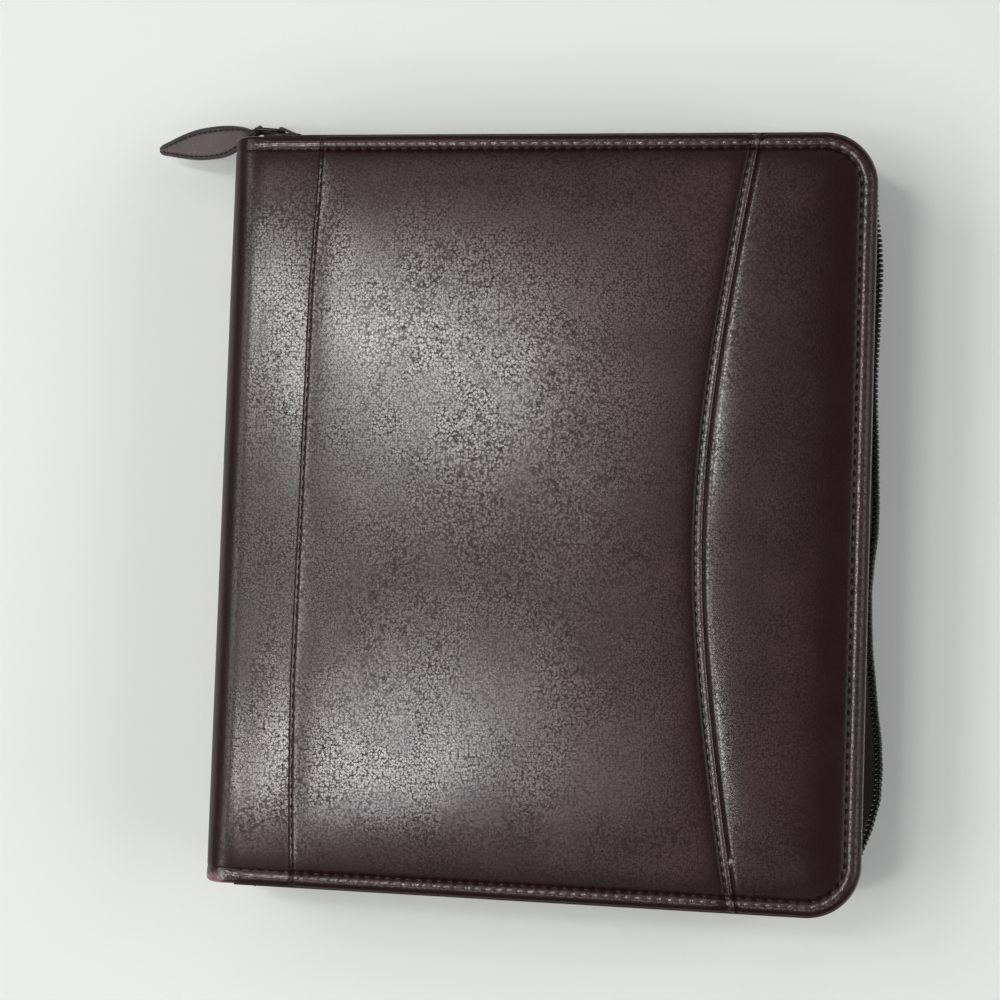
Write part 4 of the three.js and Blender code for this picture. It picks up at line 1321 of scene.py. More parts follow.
@dataclass
class ZipperWall:
    """One cover's gusset, zipper tape and coil round three sides."""

    side: Side
    gusset_depth: float = 14.0
    tape_top: float = 9.0
    coil_depth: float = 23.45
    coil_out: float = 3.1
    coil_r: float = 1.4
    wire: float = 0.42
    pitch: float = 1.7
    gusset_from: float = -100.0
    tape_from: float = -103.0
    bead_from: float = -99.0
    hem_from: float = -97.0
    coil_from: float = -90.6
    coil_to: float = -98.2
    coil_step: float = 0.9
    hem: float = 1.6
    bead_at: tuple = (0.62, 2.3)
    bead_r: float = 0.3

    def stations(self, start: float, step: float = 1.2) -> tuple[np.ndarray, np.ndarray]:
        """Points round the case from a place on X, and outward directions."""
        return round_case(np.arange(start, Case.CORNER_X, step),
                          np.arange(Case.CORNER_Y - step, -Case.CORNER_Y, -step), 24)

    def wave(self, path: np.ndarray) -> np.ndarray:
        """How far the zipper bulges out past its even flare, by height along the zipper side.

        Args:
            path: Points round the case in plan.

        Returns:
            The bulge at each point.
        """
        at = [-127, -118, -110, -101, -91, -81, -71, -62, -52, -42, -32, -22, -12, -3, 7, 17, 27, 37, 47,
              56, 66, 76, 86, 96, 105, 118, 127]
        out = [-2.2, -3.6, -3.2, 0.2, 2.7, 3.1, 2.5, 1.2, 0.2, -1.0, -1.5, -1.8, -1.1, -0.1, 0.0, -0.4,
               -0.7, -1.3, -1.6, -1.5, -1.1, -0.9, -0.7, -1.3, -2.8, -3.2, -1.0]
        side = np.interp(path[:, 1], at, out)
        rest = np.where(path[:, 1] > 0, -0.4, -2.0 * smoothstep((path[:, 0] + 99.0) / 13.0))
        share = smoothstep((path[:, 0] - 80.0) / 22.0)
        return rest * (1 - share) + side * share

    def strip(self, start: float, section: np.ndarray) -> np.ndarray:
        """Carries a section of outward offset and depth round the case, bulging more with depth.

        Args:
            start: Where on X it starts and ends.
            section: The section's points, one a row.

        Returns:
            Points round the case by points of the section by three.
        """
        path, out = self.stations(start)
        bulge = smoothstep((section[:, 1] - 4.0) / 19.0)
        offset = section[None, :, 0] + self.wave(path)[:, None] * bulge[None]
        plan = path[:, None] + out[:, None] * offset[..., None]
        depth = np.broadcast_to(section[None, :, 1], offset.shape)
        return np.concatenate([plan, self.side.z(depth)[..., None]], axis=-1)

    def flare(self, depth: np.ndarray | float) -> np.ndarray | float:
        """The gusset's inner face at a depth."""
        return -2.6 + 0.2 * (depth - 2.5)

    def build(self) -> None:
        """Makes the gusset, its hem stitches, the tape and the coil."""
        word = self.side.word
        depth = np.linspace(2.6, self.gusset_depth, 9)
        inner = self.flare(depth)
        hem = 0.35 * dip(depth - self.gusset_depth + 1.2, 0.9)
        section = np.vstack([np.stack([inner + 1.2 + hem, depth], -1),
                             [[inner[-1] + 0.9, self.gusset_depth + 0.45]],
                             np.stack([inner, depth], -1)[::-1]])
        Shape().grid(self.strip(self.gusset_from, section)).make(
            f"{word}_gusset_leather", LEATHER, self.side.body, "leather", f"{word}_gusset")
        depth = np.linspace(self.tape_top, self.coil_depth + 0.15, 9)
        inner = self.flare(depth) + 1.3 - 0.7 * smoothstep((depth - 14.4) / 2.0)
        inner = inner - 0.8 * smoothstep((depth - 19.0) / 3.0)
        section = np.vstack([np.stack([inner + 0.6, depth], -1), np.stack([inner, depth], -1)[::-1]])
        Shape().grid(self.strip(self.tape_from, section)).make(
            f"{word}_woven_tape", TAPE, self.side.body, "zip_tape", f"{word}_zip_tape")
        self.coil()
        rows = self.strip(self.bead_from, self.bead_at + rounded_section(8, self.bead_r, self.bead_r, 1.0))
        # Painted shade darkens the bead along the top and bottom; on the zipper side the mark mixes it a
        # little towards the rubbed colour.
        mark = (0.4 * smoothstep((rows[..., 0] - 104.0) / 4.0)
                - 0.95 * (1 - smoothstep((rows[..., 0] - 98.0) / 8.0)))
        Shape().grid(rows, mark=mark).make(f"{word}_edge_bead", BEAD, self.side.body, "leather")
        sewn = self.gusset_depth - self.hem
        row = self.strip(self.hem_from, np.array([[self.flare(sewn) + 1.35, sewn]]))[:, 0]
        up = np.hstack([self.stations(self.hem_from)[1], np.zeros((len(row), 1))])
        Stitch(4.2, 0.62, 0.24).sew(f"{word}_gusset_stitches", self.side.body, "leather", (row, up))

    def coil(self) -> None:
        """A continuous nylon coil: each turn is an oval helix round the tape's edge."""
        path, out = self.stations(self.coil_from, self.coil_step)
        tail = np.arange(path[-1, 0] - self.coil_step, self.coil_to, -self.coil_step)
        path = np.vstack([path, np.stack([tail, np.full_like(tail, -Case.TOP)], -1)])
        out = np.vstack([out, np.tile(out[-1], (len(tail), 1))])
        offset = self.coil_out + self.wave(path)
        centre = path + out * offset[:, None]
        line = np.hstack([centre, np.full((len(centre), 1), self.side.z(self.coil_depth)), out])
        total = travelled(line[:, :3])[-1]
        turns = int(total / self.pitch)
        t = np.linspace(0, 1, turns * 10 + 1)
        at = along(line, t * total, 3)
        phase = 2 * np.pi * turns * t + (0 if self.side is Side.FRONT else np.pi)
        middle, normal = at[:, :3], np.hstack([unit(at[:, 3:5]), np.zeros((len(t), 1))])
        up = np.array([0.0, 0.0, 1.0])
        wide, high = self.coil_r - self.wire, self.coil_r - self.wire + 0.12
        helix = (middle + normal * (wide * np.cos(phase))[:, None]
                 + up * (high * np.sin(phase))[:, None])
        forward = unit(np.gradient(middle, axis=0))
        Shape().grid(tube(helix, forward, self.wire, 5)).make(
            f"{self.side.word}_nylon_coil", COIL, self.side.body, "zip_coil", f"{self.side.word}_zip_coil")


@dataclass
class ZipperPull:
    """The wire loop and the stitched leather pull, each in its own place on the slider."""

    loop_at: tuple = (-98.55, 134.05, 25.0)
    loop_turn: float = -4.4
    loop_length: float = 9.7
    loop_half: float = 3.2
    wire: float = 1.4
    turn: float = 4.8
    droop: float = 18.8
    length: float = 45.8
    layer: float = 1.1
    seams: tuple = (1.9, 1.1)
    neck: float = 2.3
    apart: float = 0.05

    def loop(self) -> None:
        """A closed wire, long away from the slider, with rounded corners."""
        w, r, length = self.loop_half, self.wire, self.loop_length
        x = np.array([0, -r * 0.3, -r, -length / 2, r - length, r * 0.3 - length, -length])
        z = np.array([w - r, w - r * 0.3, w, w, w, w - r * 0.3, w - r])
        ring = np.vstack([np.stack([x, 0 * x, z], -1), np.stack([x, 0 * x, -z], -1)[::-1]])
        closed = np.vstack([ring[-2:], ring, ring[:3]])
        path = spline(closed, 6)[12:-18]
        points = tube(path, np.array([0.0, 1.0, 0.0]), self.wire / 2, 12)
        Shape().grid(moved(points, self.loop_place()), ring=True).make(
            "wire_loop", DARK_METAL, Body.LOOP, "dark_metal", "pull_loop")

    def loop_place(self) -> Matrix:
        """Where the loop's own axes are: at the slider's bridge, turned a little."""
        return Matrix.Translation(self.loop_at) @ Matrix.Rotation(math.radians(self.loop_turn), 4, "Z")

    def place(self) -> Matrix:
        """Where the pull's own axes are: on the loop's far bar, turned and drooping.

        Returns:
            The place as a matrix.
        """
        bar = self.loop_place() @ Matrix.Translation((-self.loop_length, 0, 0))
        swing = Matrix.Rotation(math.radians(self.turn - self.loop_turn), 4, "Z")
        return bar @ swing @ Matrix.Rotation(math.radians(-self.droop), 4, "Y")

    def width(self, t: np.ndarray) -> np.ndarray:
        """Half width of the leaf at a share t of its length: a neck, a belly and a point.

        Args:
            t: Shares of the length.

        Returns:
            The half width at each share.
        """
        at = [0.0, 0.03, 0.07, 0.12, 0.17, 0.22, 0.27, 0.33, 0.42, 0.5, 0.58, 0.64, 0.71, 0.81, 0.905,
              0.955, 0.985, 1.0]
        wide = [0.8, 2.1, 2.6, 3.0, 4.4, 5.2, 5.6, 5.8, 5.9, 5.85, 5.7, 5.4, 4.85, 3.85, 2.75, 2.2, 1.75,
                1.1]
        curve = spline(np.stack([at, wide], -1), 6)
        return np.interp(t, curve[:, 0], np.maximum(curve[:, 1], 0.0))

    def leaf(self, up: int) -> tuple[np.ndarray, np.ndarray]:
        """One leaf of the pull, pillowed between its two faces.

        Each row is a closed loop across the leaf: out along the outer face, which rises by the square
        root of 1 - u^4 at a share u of the half width, and back along the flat inner one.

        Args:
            up: 1 for the upper leaf and -1 for the lower.

        Returns:
            Rows by columns by three, in the pull's own axes, and each point's mark: how polished it is,
            less painted shade at the neck.
        """
        t = np.concatenate([np.linspace(0, 0.12, 10)[:-1], np.linspace(0.12, 0.94, 44),
                            1 - 0.06 * np.cos(np.linspace(0, np.pi / 2, 9))[1:]])
        x = self.neck - t * self.length
        wide = np.maximum(self.width(t), 0.05)
        u = np.sin(np.linspace(-np.pi / 2, np.pi / 2, 25))
        face = 0.25 + 0.75 * np.sqrt(np.maximum(1 - u**4, 0))
        seam = np.where(u > 0, *self.seams)[None]
        groove = 0.22 * dip((1 - np.abs(u))[None] * wide[:, None] - seam, 0.28)
        out = self.apart + self.layer * face[None] - groove
        cross_y = np.concatenate([u, u[::-1]])[None] * wide[:, None]
        cross_z = np.hstack([out, np.full((len(t), len(u)), self.apart)]) * up
        rubbed = 0.9 * smoothstep((wide[:, None] * (1 - np.abs(u))[None] - seam - 0.1) / 0.6)
        mark = np.hstack([rubbed, 0 * rubbed]) * smoothstep((t - 0.12) / 0.08)[:, None]
        # Painted shade at the folded neck.
        mark = mark - 0.9 * (1 - smoothstep((t - 0.1) / 0.08))[:, None]
        return np.stack([np.broadcast_to(x[:, None], cross_y.shape), cross_y, cross_z], -1), mark

    def bent(self, points: np.ndarray) -> np.ndarray:
        """Lets the leather curl: it twists towards the neck and sags with the square of its length.

        Args:
            points: Points in the pull's own axes.

        Returns:
            The points once curled.
        """
        share = np.clip(-points[..., 0] / self.length, 0, 1)
        twist = np.radians(-38.0) * (1 - smoothstep(share / 0.42))
        y, z = points[..., 1], points[..., 2]
        made = points.copy()
        sway = -2.0 * np.sin(np.pi * np.sqrt(share)) * (1 - 0.5 * share)
        made[..., 1] = y * np.cos(twist) - z * np.sin(twist) + sway
        made[..., 2] = y * np.sin(twist) + z * np.cos(twist) - 1.2 * share**2 + 0.8 * np.sin(np.pi * share)
        return made

    def build(self) -> None:
        """Makes the loop, both leaves and their stitches."""
        self.loop()
        place = self.place()
        for up, word in ((1, "upper"), (-1, "lower")):
            points, mark = self.leaf(up)
            Shape().grid(moved(self.bent(points), place), mark=mark).make(
                f"pull_{word}_leaf", TAB_LEATHER, Body.TAB, "leather", f"pull_tab_{word}")
        t = np.linspace(0.16, 0.955, 90)
        x = self.neck - t * self.length
        y, low = (np.maximum(self.width(t) - inset, 0.0) for inset in self.seams)
        for up, word in ((1, "upper"), (-1, "lower")):
            z = np.full_like(x, up * (self.apart + self.layer * 0.9))
            line = np.concatenate([np.stack([x, y, z], -1), np.stack([x, -low, z], -1)[::-1]])
            normal = np.array(place.to_3x3() @ Vector((0, 0, up)))
            Stitch(2.3, 0.66, 0.17).sew(f"pull_{word}_stitches", Body.TAB, "leather",
                                        (moved(self.bent(line), place), normal))


def moved(points: np.ndarray, place: Matrix) -> np.ndarray:
    """Points carried by a matrix."""
    full = np.array(place)
    return points @ full[:3, :3].T + full[:3, 3]


@dataclass
class Slider:
    """The zipper's slider: two shield-shaped plates with flanges, a post between and a bridge on top."""

    start: float = -102.2
    length: float = 11.0
    coil_out: float = 3.1
    gap: float = 1.75
    plate: float = 1.1
    bridge_x: tuple = (-100.45, -92.95)
    bridge_out: float = 8.95
    bridge_half: float = 1.5
    wire: float = 0.9

    def outline(self, inset: float) -> np.ndarray:
        """The plate's outline in X and Z round the middle: a shield with rounded corners.

        Args:
            inset: How far it is drawn in at its widest.

        Returns:
            The outline's points, one a row.
        """
        along_x = [0.0, 0.4, 2.2, 5.5, 9.0, 10.6, 11.0]
        half = [3.0, 4.4, 5.4, 5.2, 4.5, 4.2, 3.4]
        upper = spline(np.stack([along_x, half], -1), 5)
        ring = np.vstack([upper, upper[::-1] * [1, -1]])
        centre = np.array([self.length / 2, 0.0])
        return centre + (ring - centre) * (1 - inset / 4.6)

    def slab(self, low: float, high: float) -> np.ndarray:
        """A plate between two distances out from the cover's edge, with rounded rims.

        Args:
            low: The distance of its inner face.
            high: The distance of its outer face.

        Returns:
            Levels by points of the outline by three.
        """
        levels = [(0.35, low), (0.08, low + 0.12), (0.0, low + 0.35), (0.0, high - 0.4),
                  (0.12, high - 0.14), (0.5, high)]
        rows = [np.insert(self.outline(inset) + [self.start, Case.MIDDLE], 1, Case.TOP + out, axis=1)
                for inset, out in levels]
        return np.stack(rows)

    def build(self) -> None:
        """Makes the slider."""
        inner, outer = self.coil_out - self.gap, self.coil_out + self.gap
        shape = Shape().grid(self.slab(inner - self.plate, inner))
        shape.grid(self.slab(outer, outer + self.plate))
        x = self.start + np.linspace(1.0, 10.2, 12)
        for sign in (-1, 1):
            z = Case.MIDDLE + sign * np.interp(x - self.start, [1, 2.2, 5.5, 10.2], [4.5, 4.9, 4.7, 3.8])
            for low, high in ((outer - 0.85, outer + 0.2), (inner - 0.2, inner + 0.4)):
                corners = [(-0.4, low), (0.4, low), (0.4, high), (-0.4, high)]
                shape.grid(np.stack([np.stack([x, 0 * x + Case.TOP + out, z + off], -1)
                                     for off, out in corners], axis=1))
        post = [self.start + 1.7, Case.MIDDLE] + rounded_section(16, 1.5, 1.0, 1.0)
        shape.grid(np.stack([np.insert(post, 1, Case.TOP + out, axis=1)
                             for out in (inner - 0.1, outer + 0.1)]))
        foot, top = outer + self.plate - 0.3, self.bridge_out - self.wire / 2
        a, b = self.bridge_x[0] + self.wire / 2, self.bridge_x[1] - self.wire / 2
        low = top - 2.0
        path = spline([[a, foot, 0], [a, (foot + top) / 2, 0], [a + 0.25, top - 0.35, 0], [a + 1.1, top, 0],
                       [b - 1.1, low + 0.1, 0], [b - 0.25, low - 0.3, 0], [b, (foot + low) / 2, 0],
                       [b, foot, 0]], 5) + [0, Case.TOP, Case.MIDDLE]
        shape.grid(swept(path, np.array([0.0, 0.0, 1.0]),
                         rounded_section(16, self.bridge_half, self.wire / 2, 0.5)))
        shape.make("zipper_slider_body", DARK_METAL, Body.SLIDER, "dark_metal", "zipper_slider", sharp=35.0)


@dataclass
class BottomStop:
    """The metal crimp at the zipper's lower end, folded over the back tape and its coil's last turn."""

    low_x: float = -101.9
    high_x: float = -97.3
    out: float = 2.75
    depth: float = 22.5
    half_out: float = 1.75
    half_depth: float = 2.15

    def build(self) -> None:
        """Carries a superellipse along the tape and draws it in at both ends by the root of 1 - t^6."""
        ring = rounded_section(24, self.half_out, self.half_depth, 0.6)
        t = np.sin(np.linspace(-np.pi / 2, np.pi / 2, 15))
        drawn = 0.74 + 0.26 * np.sqrt(np.maximum(1 - t**6, 0.0))
        rows = np.broadcast_to(ring, (len(t), *ring.shape)) * drawn[:, None, None]
        x = (self.low_x + self.high_x) / 2 + t * (self.high_x - self.low_x) / 2
        points = np.stack([np.broadcast_to(x[:, None], rows.shape[:2]), -Case.TOP - self.out - rows[..., 0],
                           self.depth + rows[..., 1]], -1)
        Shape().grid(points).make(
            "bottom_stop_crimp", DARK_METAL, Body.BACK, "dark_metal", "zip_bottom_stop")


# Rings


@dataclass
class Rings:
    """Round half rings on their thin blades."""

    centre_x: float = -80.0
    centre_z: float = 24.0
    radius: float = 16.5
    wire: float = 3.0
    spacing: float = 28.0
    number: int = 7
    foot_x: float = 5.5
    tip_gap: float = 0.15
    blade_x: tuple = (0.4, 10.9)
    blade_z: tuple = (7.0, 7.8)
    rivet_y: float = 78.0
    rivet_r: float = 3.8

    def build(self) -> None:
        """Makes each side's rings, quarter turns from the blade to the arch's middle, and its blade.

        The blade is a flat bar whose inner edge keeps a distance of rivet_r from each rivet's middle.
        """
        foot, tip = math.acos(self.foot_x / self.radius), self.tip_gap / self.radius
        turn = np.linspace(-foot, np.pi / 2 - tip, 40)
        for sign, word, body in ((-1, "left", Body.LEFT_RINGS), (1, "right", Body.RIGHT_RINGS)):
            low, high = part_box(f"{word}_ring_set")
            shape = Shape()
            for k in range(self.number):
                y = (k - (self.number - 1) / 2) * self.spacing
                path = np.stack([self.centre_x + sign * self.radius * np.cos(turn), np.full_like(turn, y),
                                 self.centre_z + self.radius * np.sin(turn)], -1)
                shape.grid(tube(path, np.array([0.0, 1.0, 0.0]), self.wire / 2, 16))
            y = np.linspace(low[1] * 1000, high[1] * 1000, 60)
            gap = np.sqrt(np.maximum(self.rivet_r**2 - (np.abs(y) - self.rivet_y) ** 2, 0))
            near = self.centre_x + sign * np.maximum(self.blade_x[0], gap)
            far = np.full_like(near, self.centre_x + sign * self.blade_x[1])
            (under, over), corners = self.blade_z, (near, far, far, near)
            shape.grid(np.stack([np.stack([x, y, np.full_like(y, z)], -1)
                                 for x, z in zip(corners, (under, under, over, over))], axis=1))
            shape.make(f"{word}_rings", NICKEL, body, "nickel", f"{word}_ring_set", sharp=40.0)


# Inside


class Opening(Enum):
    """Which side of a flat pocket is open: the pocket's own axes across and towards the open edge."""

    TOP = ((1.0, 0.0), (0.0, 1.0))
    LEFT = ((0.0, 1.0), (-1.0, 0.0))


@dataclass
class FlatPocket:
    """A flat leather pocket on a lining: a turned hem at its open edge and stitches near the others.

    Its face swells by 0.14 times the products of its distances from the seams, and dips at stitches.
    """

    node: str
    body: Body
    opening: Opening = Opening.TOP
    thickness: float = 0.7
    bare: float = 0.0
    foot: float = 0.0
    corner: float = 3.0
    seam_in: float = 2.0
    hem_in: float = 4.4

    @property
    def axes(self) -> tuple[np.ndarray, np.ndarray]:
        """Directions in plan across the pocket and towards its open edge."""
        across, towards = self.opening.value
        return np.array(across), np.array(towards)

    def build(self) -> None:
        """Makes the pocket and its stitches from its solid's box."""
        low, high = (np.array(v) * 1000 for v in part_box(self.node))
        up = -1.0 if self.body is Body.FRONT else 1.0
        face = low[2] if up < 0 else high[2]
        across, towards = self.axes
        centre = (low[:2] + high[:2]) / 2
        half = abs(across @ (high[:2] - low[:2])) / 2
        length = abs(towards @ (high[:2] - low[:2]))
        side = np.array([0.0, 0.25, 0.6, 1.1, 1.6, 2.1, 2.6])
        v = np.concatenate([side, np.arange(3.4, length - 6.2, 1.6),
                            length - np.array([6.0, 5.4, 4.8, 4.2, 3.4, 2.0, 0.8, 0.25, 0.0])])
        u = np.concatenate([-1 + side / half, np.linspace(-1 + 3.4 / half, 1 - 3.4 / half, 60),
                            1 - side[::-1] / half])
        r = self.corner
        tuck = r - np.sqrt(np.maximum(r**2 - np.maximum(r - v, 0) ** 2, 0))
        wide = (half - tuck)[:, None]
        off_side = wide * (1 - np.abs(u))[None]
        off_foot, off_open = np.broadcast_to(v[:, None], off_side.shape), (length - v)[:, None]
        near = np.minimum(np.minimum(off_side, off_foot), off_open)
        rise = -0.35 * (1 - smoothstep(near / 0.6))
        rise = rise - 0.14 + 0.14 * swell(off_side - self.seam_in, 8) * swell(off_foot - self.seam_in, 8)
        rise = rise - 0.12 * dip(np.minimum(off_side, off_foot) - self.seam_in, 0.45)
        rise = rise + 0.05 * smoothstep((5.0 - off_open) / 0.8) - 0.14 * dip(off_open - self.hem_in, 0.5)
        back = u[::-8]
        plan_u = np.hstack([wide * u[None], wide * back[None]])
        level = np.hstack([rise, np.full((len(v), len(back)), -self.thickness)])
        plan = centre + plan_u[..., None] * across + (v - length / 2)[:, None, None] * towards
        points = np.concatenate([plan, (face + up * level)[..., None]], -1)
        shape = Shape().grid(points)
        if self.foot:
            ends = np.array([-half, half])[:, None]
            box_v = np.array([0.1, 3.9, 3.9, 0.1])
            box_z = np.array([-self.thickness - self.foot, -self.thickness - self.foot, -0.35, -0.35])
            foot = (centre + ends[..., None] * across + (box_v - length / 2)[None, :, None] * towards)
            shape.grid(np.concatenate([foot, np.broadcast_to(face + up * box_z, (2, 4))[..., None]], -1))
        shape.make(f"{self.node}_leather", LEATHER, self.body, "lining", self.node)
        self.stitches(centre, half, length, face, up)

    def stitches(self, centre: np.ndarray, half: float, length: float, face: float, up: float) -> None:
        """Threads down both sides, along the foot and under the hem.

        Args:
            centre: The pocket's middle.
            half: Half its width.
            length: From its foot to its open edge.
            face: The height of its face.
            up: The direction of its face in Z.
        """
        across, towards = self.axes
        inner, foot, hem = half - self.seam_in, max(self.seam_in, self.bare), length - self.hem_in
        rows = [[(-inner, length - 1.0), (-inner, foot)], [(inner, foot), (inner, length - 1.0)],
                [(-inner + 1.5, hem), (inner - 1.5, hem)]]
        if self.bare == 0:
            rows.append([(-inner + 1.5, self.seam_in), (inner - 1.5, self.seam_in)])
        share = np.linspace(0, 1, 60)[:, None]
        sewn = []
        for start, end in rows:
            line = np.array(start) * (1 - share) + np.array(end) * share
            plan = centre + line[:, :1] * across + (line[:, 1:] - length / 2) * towards
            sewn.append((np.hstack([plan, np.full((60, 1), face - up * 0.36)]), [0.0, 0.0, up]))
        Stitch(3.0, 0.62, 0.15).sew(f"{self.node}_stitches", self.body, "lining", *sewn)


@dataclass
class PenLoop:
    """A strip of leather bent into a loop, with rounded edges and a row of stitches near each."""

    centre_x: float = 88.0
    half_x: float = 7.5
    low: float = 5.4
    high: float = 18.4
    corner: float = 5.0
    thickness: float = 1.4
    half_y: float = 10.0
    seam_in: float = 1.7

    def build(self) -> None:
        """Carries the strip's section round the loop."""
        h = self.thickness / 2
        x, r = self.half_x - h, self.corner - h
        base, top = self.low + h, self.high - h
        turn = np.radians(np.linspace(0, 90, 9))
        right = np.stack([x - r + r * np.cos(turn), top - r + r * np.sin(turn)], -1)
        foot = np.linspace(-x, x, 11)[:, None] * [1, 0] + [0, base]
        walls = np.linspace(base + 0.6, top - r - 0.4, 7)
        loop = np.vstack([foot[:-1], np.stack([0 * walls + x, walls], -1), right, (right * [-1, 1])[::-1],
                          np.stack([0 * walls - x, walls], -1)[::-1]])
        path = np.stack([self.centre_x + loop[:, 0], 0 * loop[:, 0], loop[:, 1]], -1)
        way = unit(np.roll(path, -1, 0) - np.roll(path, 1, 0))
        normal = np.cross(way, [0.0, 1.0, 0.0])
        corner = np.radians(np.linspace(90, 0, 4))
        edge = np.stack([self.half_y - h + h * np.cos(corner), h * np.sin(corner)], -1)
        across = np.concatenate([np.linspace(-self.half_y + h, self.half_y - h, 12)[:-1], edge[:, 0]])
        out = np.concatenate([np.full(11, h), edge[:, 1]])
        across, out = np.concatenate([across, -across]), np.concatenate([out, -out])
        points = (path[:, None] + np.array([0, 1, 0]) * across[None, :, None]
                  + normal[:, None] * out[None, :, None])
        Shape().grid(points, ring=True).make("pen_loop_leather", LEATHER, Body.BACK, "leather", "pen_loop")
        over = slice(13, len(path) - 3)
        Stitch(2.6, 0.62, 0.17).sew("pen_loop_stitches", Body.BACK, "leather", *(
            (path[over] + [0, y, 0] + normal[over] * (h - 0.05), normal[over])
            for y in (-self.half_y + self.seam_in, self.half_y - self.seam_in)))


@dataclass
class HingeLining:
    """A strip of lining cloth that covers one crease inside, glued at both edges."""

    side: Side
    half: float = 123.0
    thickness: float = 0.45

    def build(self) -> None:
        """A strip along the crease with a slightly slack middle."""
        path = spline([[-97.6, 44.3], [-99.4, 44.28], [-101.0, 43.7], [-102.6, 42.4], [-103.75, 40.9],
                       [-103.95, 39.6], [-103.95, 38.0]], 5)
        y = np.concatenate([[-self.half, -self.half + 0.4], np.linspace(-self.half + 2, self.half - 2, 80),
                            [self.half - 0.4, self.half]])
        way = unit(np.gradient(path, axis=0))
        normal = np.stack([-way[:, 1], way[:, 0]], -1) * self.thickness / 2
        section = np.vstack([path + normal, (path - normal)[::-1]])
        wave = 0.10 * np.sin(y / 9.0 + 1.0)[:, None] * np.sin(np.pi * np.linspace(0, 1, len(path)))[None]
        wave = np.hstack([wave, wave[:, ::-1]])
        x = section[None, :, 0] + wave
        z = self.side.z(Case.THICKNESS - section[None, :, 1] + wave)
        points = np.stack([x, np.broadcast_to(y[:, None], x.shape), z], -1)
        piece = Shape().grid(points).make(f"{self.side.word}_hinge_cloth", LINING, None, "lining")
        SpineLeather(self.side).across(piece)


# Whole object


def dress_nodes() -> None:
    """Gives the solids that stay in view their finishes."""
    finishes = {
        Board(): ("back_board", "front_board", "spine_board"),
        LINING: ("back_lining", "front_lining", "spine_lining"),
        NICKEL: ("ring_rail", "top_rivet", "bottom_rivet", "top_lever", "bottom_lever"),
        PAPER: ("lower_pages", "upper_pages"),
        CARD: ("tab_dividers",),
        BACKING: ("pad_backing",),
        Paper("pad_paper", (0.83, 0.80, 0.62)): ("pad_sheets",),
        Frosted(): ("page_finder",),
    }
    for finish, names in finishes.items():
        for name in names:
            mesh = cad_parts[name].data
            mesh.materials.clear()
            mesh.materials.append(finish.material())


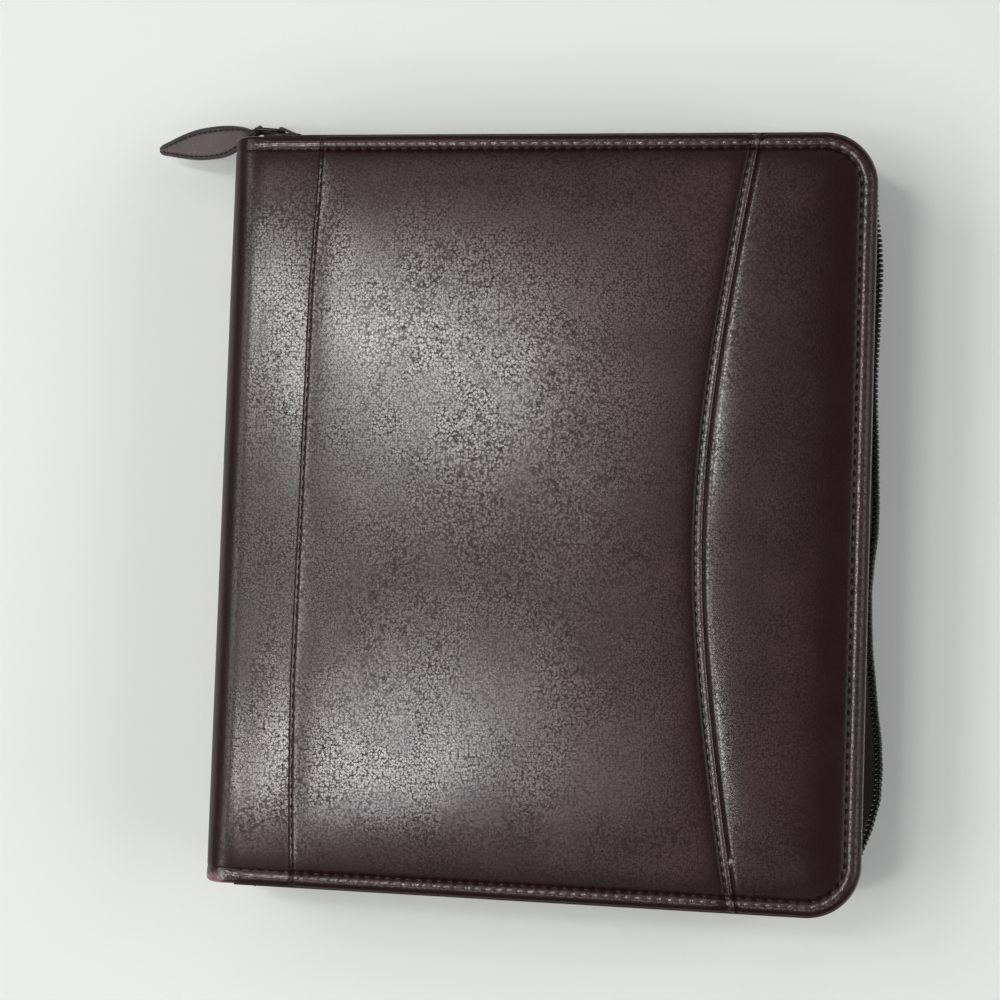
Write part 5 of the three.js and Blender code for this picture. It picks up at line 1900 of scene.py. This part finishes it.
@dataclass
class Studio:
    """A pale floor, soft lamps and the camera."""

    camera_at: tuple = (0.098305, -0.029194, 0.705189)
    right: tuple = (0.985829, 0.033968, -0.164281)
    up: tuple = (-0.025208, 0.998162, 0.055116)
    back: tuple = (0.165851, -0.050193, 0.984873)
    lens: float = 72.0
    floor: tuple = (0.82, 0.835, 0.815)
    floor_reach: float = 4.0
    floor_z: float = -0.0003

    def lamp(self, name: str, at: tuple, aim: tuple, size: tuple, watts: float, turn: float = 0.0) -> None:
        """A rectangular area lamp that faces a point, turned in its own plane by an angle in degrees.

        Args:
            name: The lamp's name.
            at: Where it hangs, in metres.
            aim: The point that it faces.
            size: Its width and height in metres.
            watts: Its power.
            turn: The angle.
        """
        light = bpy.data.lights.new(name, "AREA")
        light.shape, light.size, light.size_y, light.energy = "RECTANGLE", *size, watts
        lamp = bpy.data.objects.new(name, light)
        lamp.location = at
        facing = (Vector(aim) - Vector(at)).to_track_quat("-Z", "Y").to_matrix()
        lamp.rotation_euler = (facing @ Matrix.Rotation(math.radians(turn), 3, "Z")).to_euler()
        bpy.context.scene.collection.objects.link(lamp)

    def build(self) -> None:
        """Makes the stage and the camera."""
        scene = bpy.context.scene
        scene.view_settings.view_transform = "Standard"
        camera = bpy.data.objects.new("camera", bpy.data.cameras.new("camera"))
        camera.data.lens = self.lens
        axes = Matrix((self.right, self.up, self.back)).transposed().to_4x4()
        camera.matrix_world = Matrix.Translation(self.camera_at) @ axes
        scene.collection.objects.link(camera)
        scene.camera = camera
        world = bpy.data.worlds.new("studio")
        world.use_nodes = True
        sky = world.node_tree.nodes["Background"]
        sky.inputs[0].default_value = (0.92, 0.95, 1.0, 1.0)
        sky.inputs[1].default_value = 0.09
        scene.world = world
        self.lamp("upper_window", (-0.42, 0.257, 1.5), (-0.42, 0.257, 0), (0.42, 0.10), 3.35, -20.0)
        self.lamp("lower_window", (-0.42, -0.243, 1.5), (-0.42, -0.243, 0), (0.36, 0.10), 2.7, 20.0)
        self.lamp("left_softbox", (-1.05, 0.0, 1.35), (0, 0, 0), (1.6, 0.6), 14.0)
        self.lamp("top_softbox", (-0.1, 1.05, 1.3), (0, 0, 0), (1.6, 0.25), 2.0)
        self.lamp("bottom_softbox", (-0.1, -0.95, 1.3), (0, 0, 0), (1.6, 0.25), 2.6)
        self.lamp("right_softbox", (1.7, 0.0, 1.1), (0.1, 0, 0), (1.8, 1.0), 18.0)
        self.ground()

    def ground(self) -> None:
        """A large pale floor with a very soft mottle."""
        mesh = bpy.data.meshes.new("floor")
        corners = [(x * self.floor_reach, y * self.floor_reach, self.floor_z)
                   for x, y in ((-1, -1), (1, -1), (1, 1), (-1, 1))]
        mesh.from_pydata(corners, [], [(0, 1, 2, 3)])
        floor = bpy.data.objects.new("floor", mesh)
        t = Tree("pale_floor")
        soft = t.noise(6.0, 2.0)
        mesh.materials.append(t.dress(
            Base_Color=t.mix(soft, self.floor, tuple(1.05 * c for c in self.floor)), Roughness=0.9))
        bpy.context.scene.collection.objects.link(floor)


def main() -> None:
    """Builds the planner's looks in order."""
    logging.basicConfig(level=logging.INFO, format="%(message)s")
    Studio().build()
    dress_nodes()
    FrontLeather().build()
    CoverPanel(Side.BACK, "back_leather", ("back_panel", "back_foam")).build()
    for side in Side:
        SpineLeather(side).build()
        EdgeStitches(side).build()
        ZipperWall(side).build()
        HingeLining(side).build()
    Slider().build()
    ZipperPull().build()
    BottomStop().build()
    Rings().build()
    FlatPocket("slip_pocket", Body.FRONT).build()
    for k, bare in ((1, 45.5), (2, 45.5), (3, 0.0)):
        FlatPocket(f"card_slot_{k}", Body.FRONT, bare=bare).build()
    FlatPocket("pad_pocket", Body.BACK, Opening.LEFT, foot=1.3, corner=1.0).build()
    PenLoop().build()


if __name__ == "__main__":
    main()
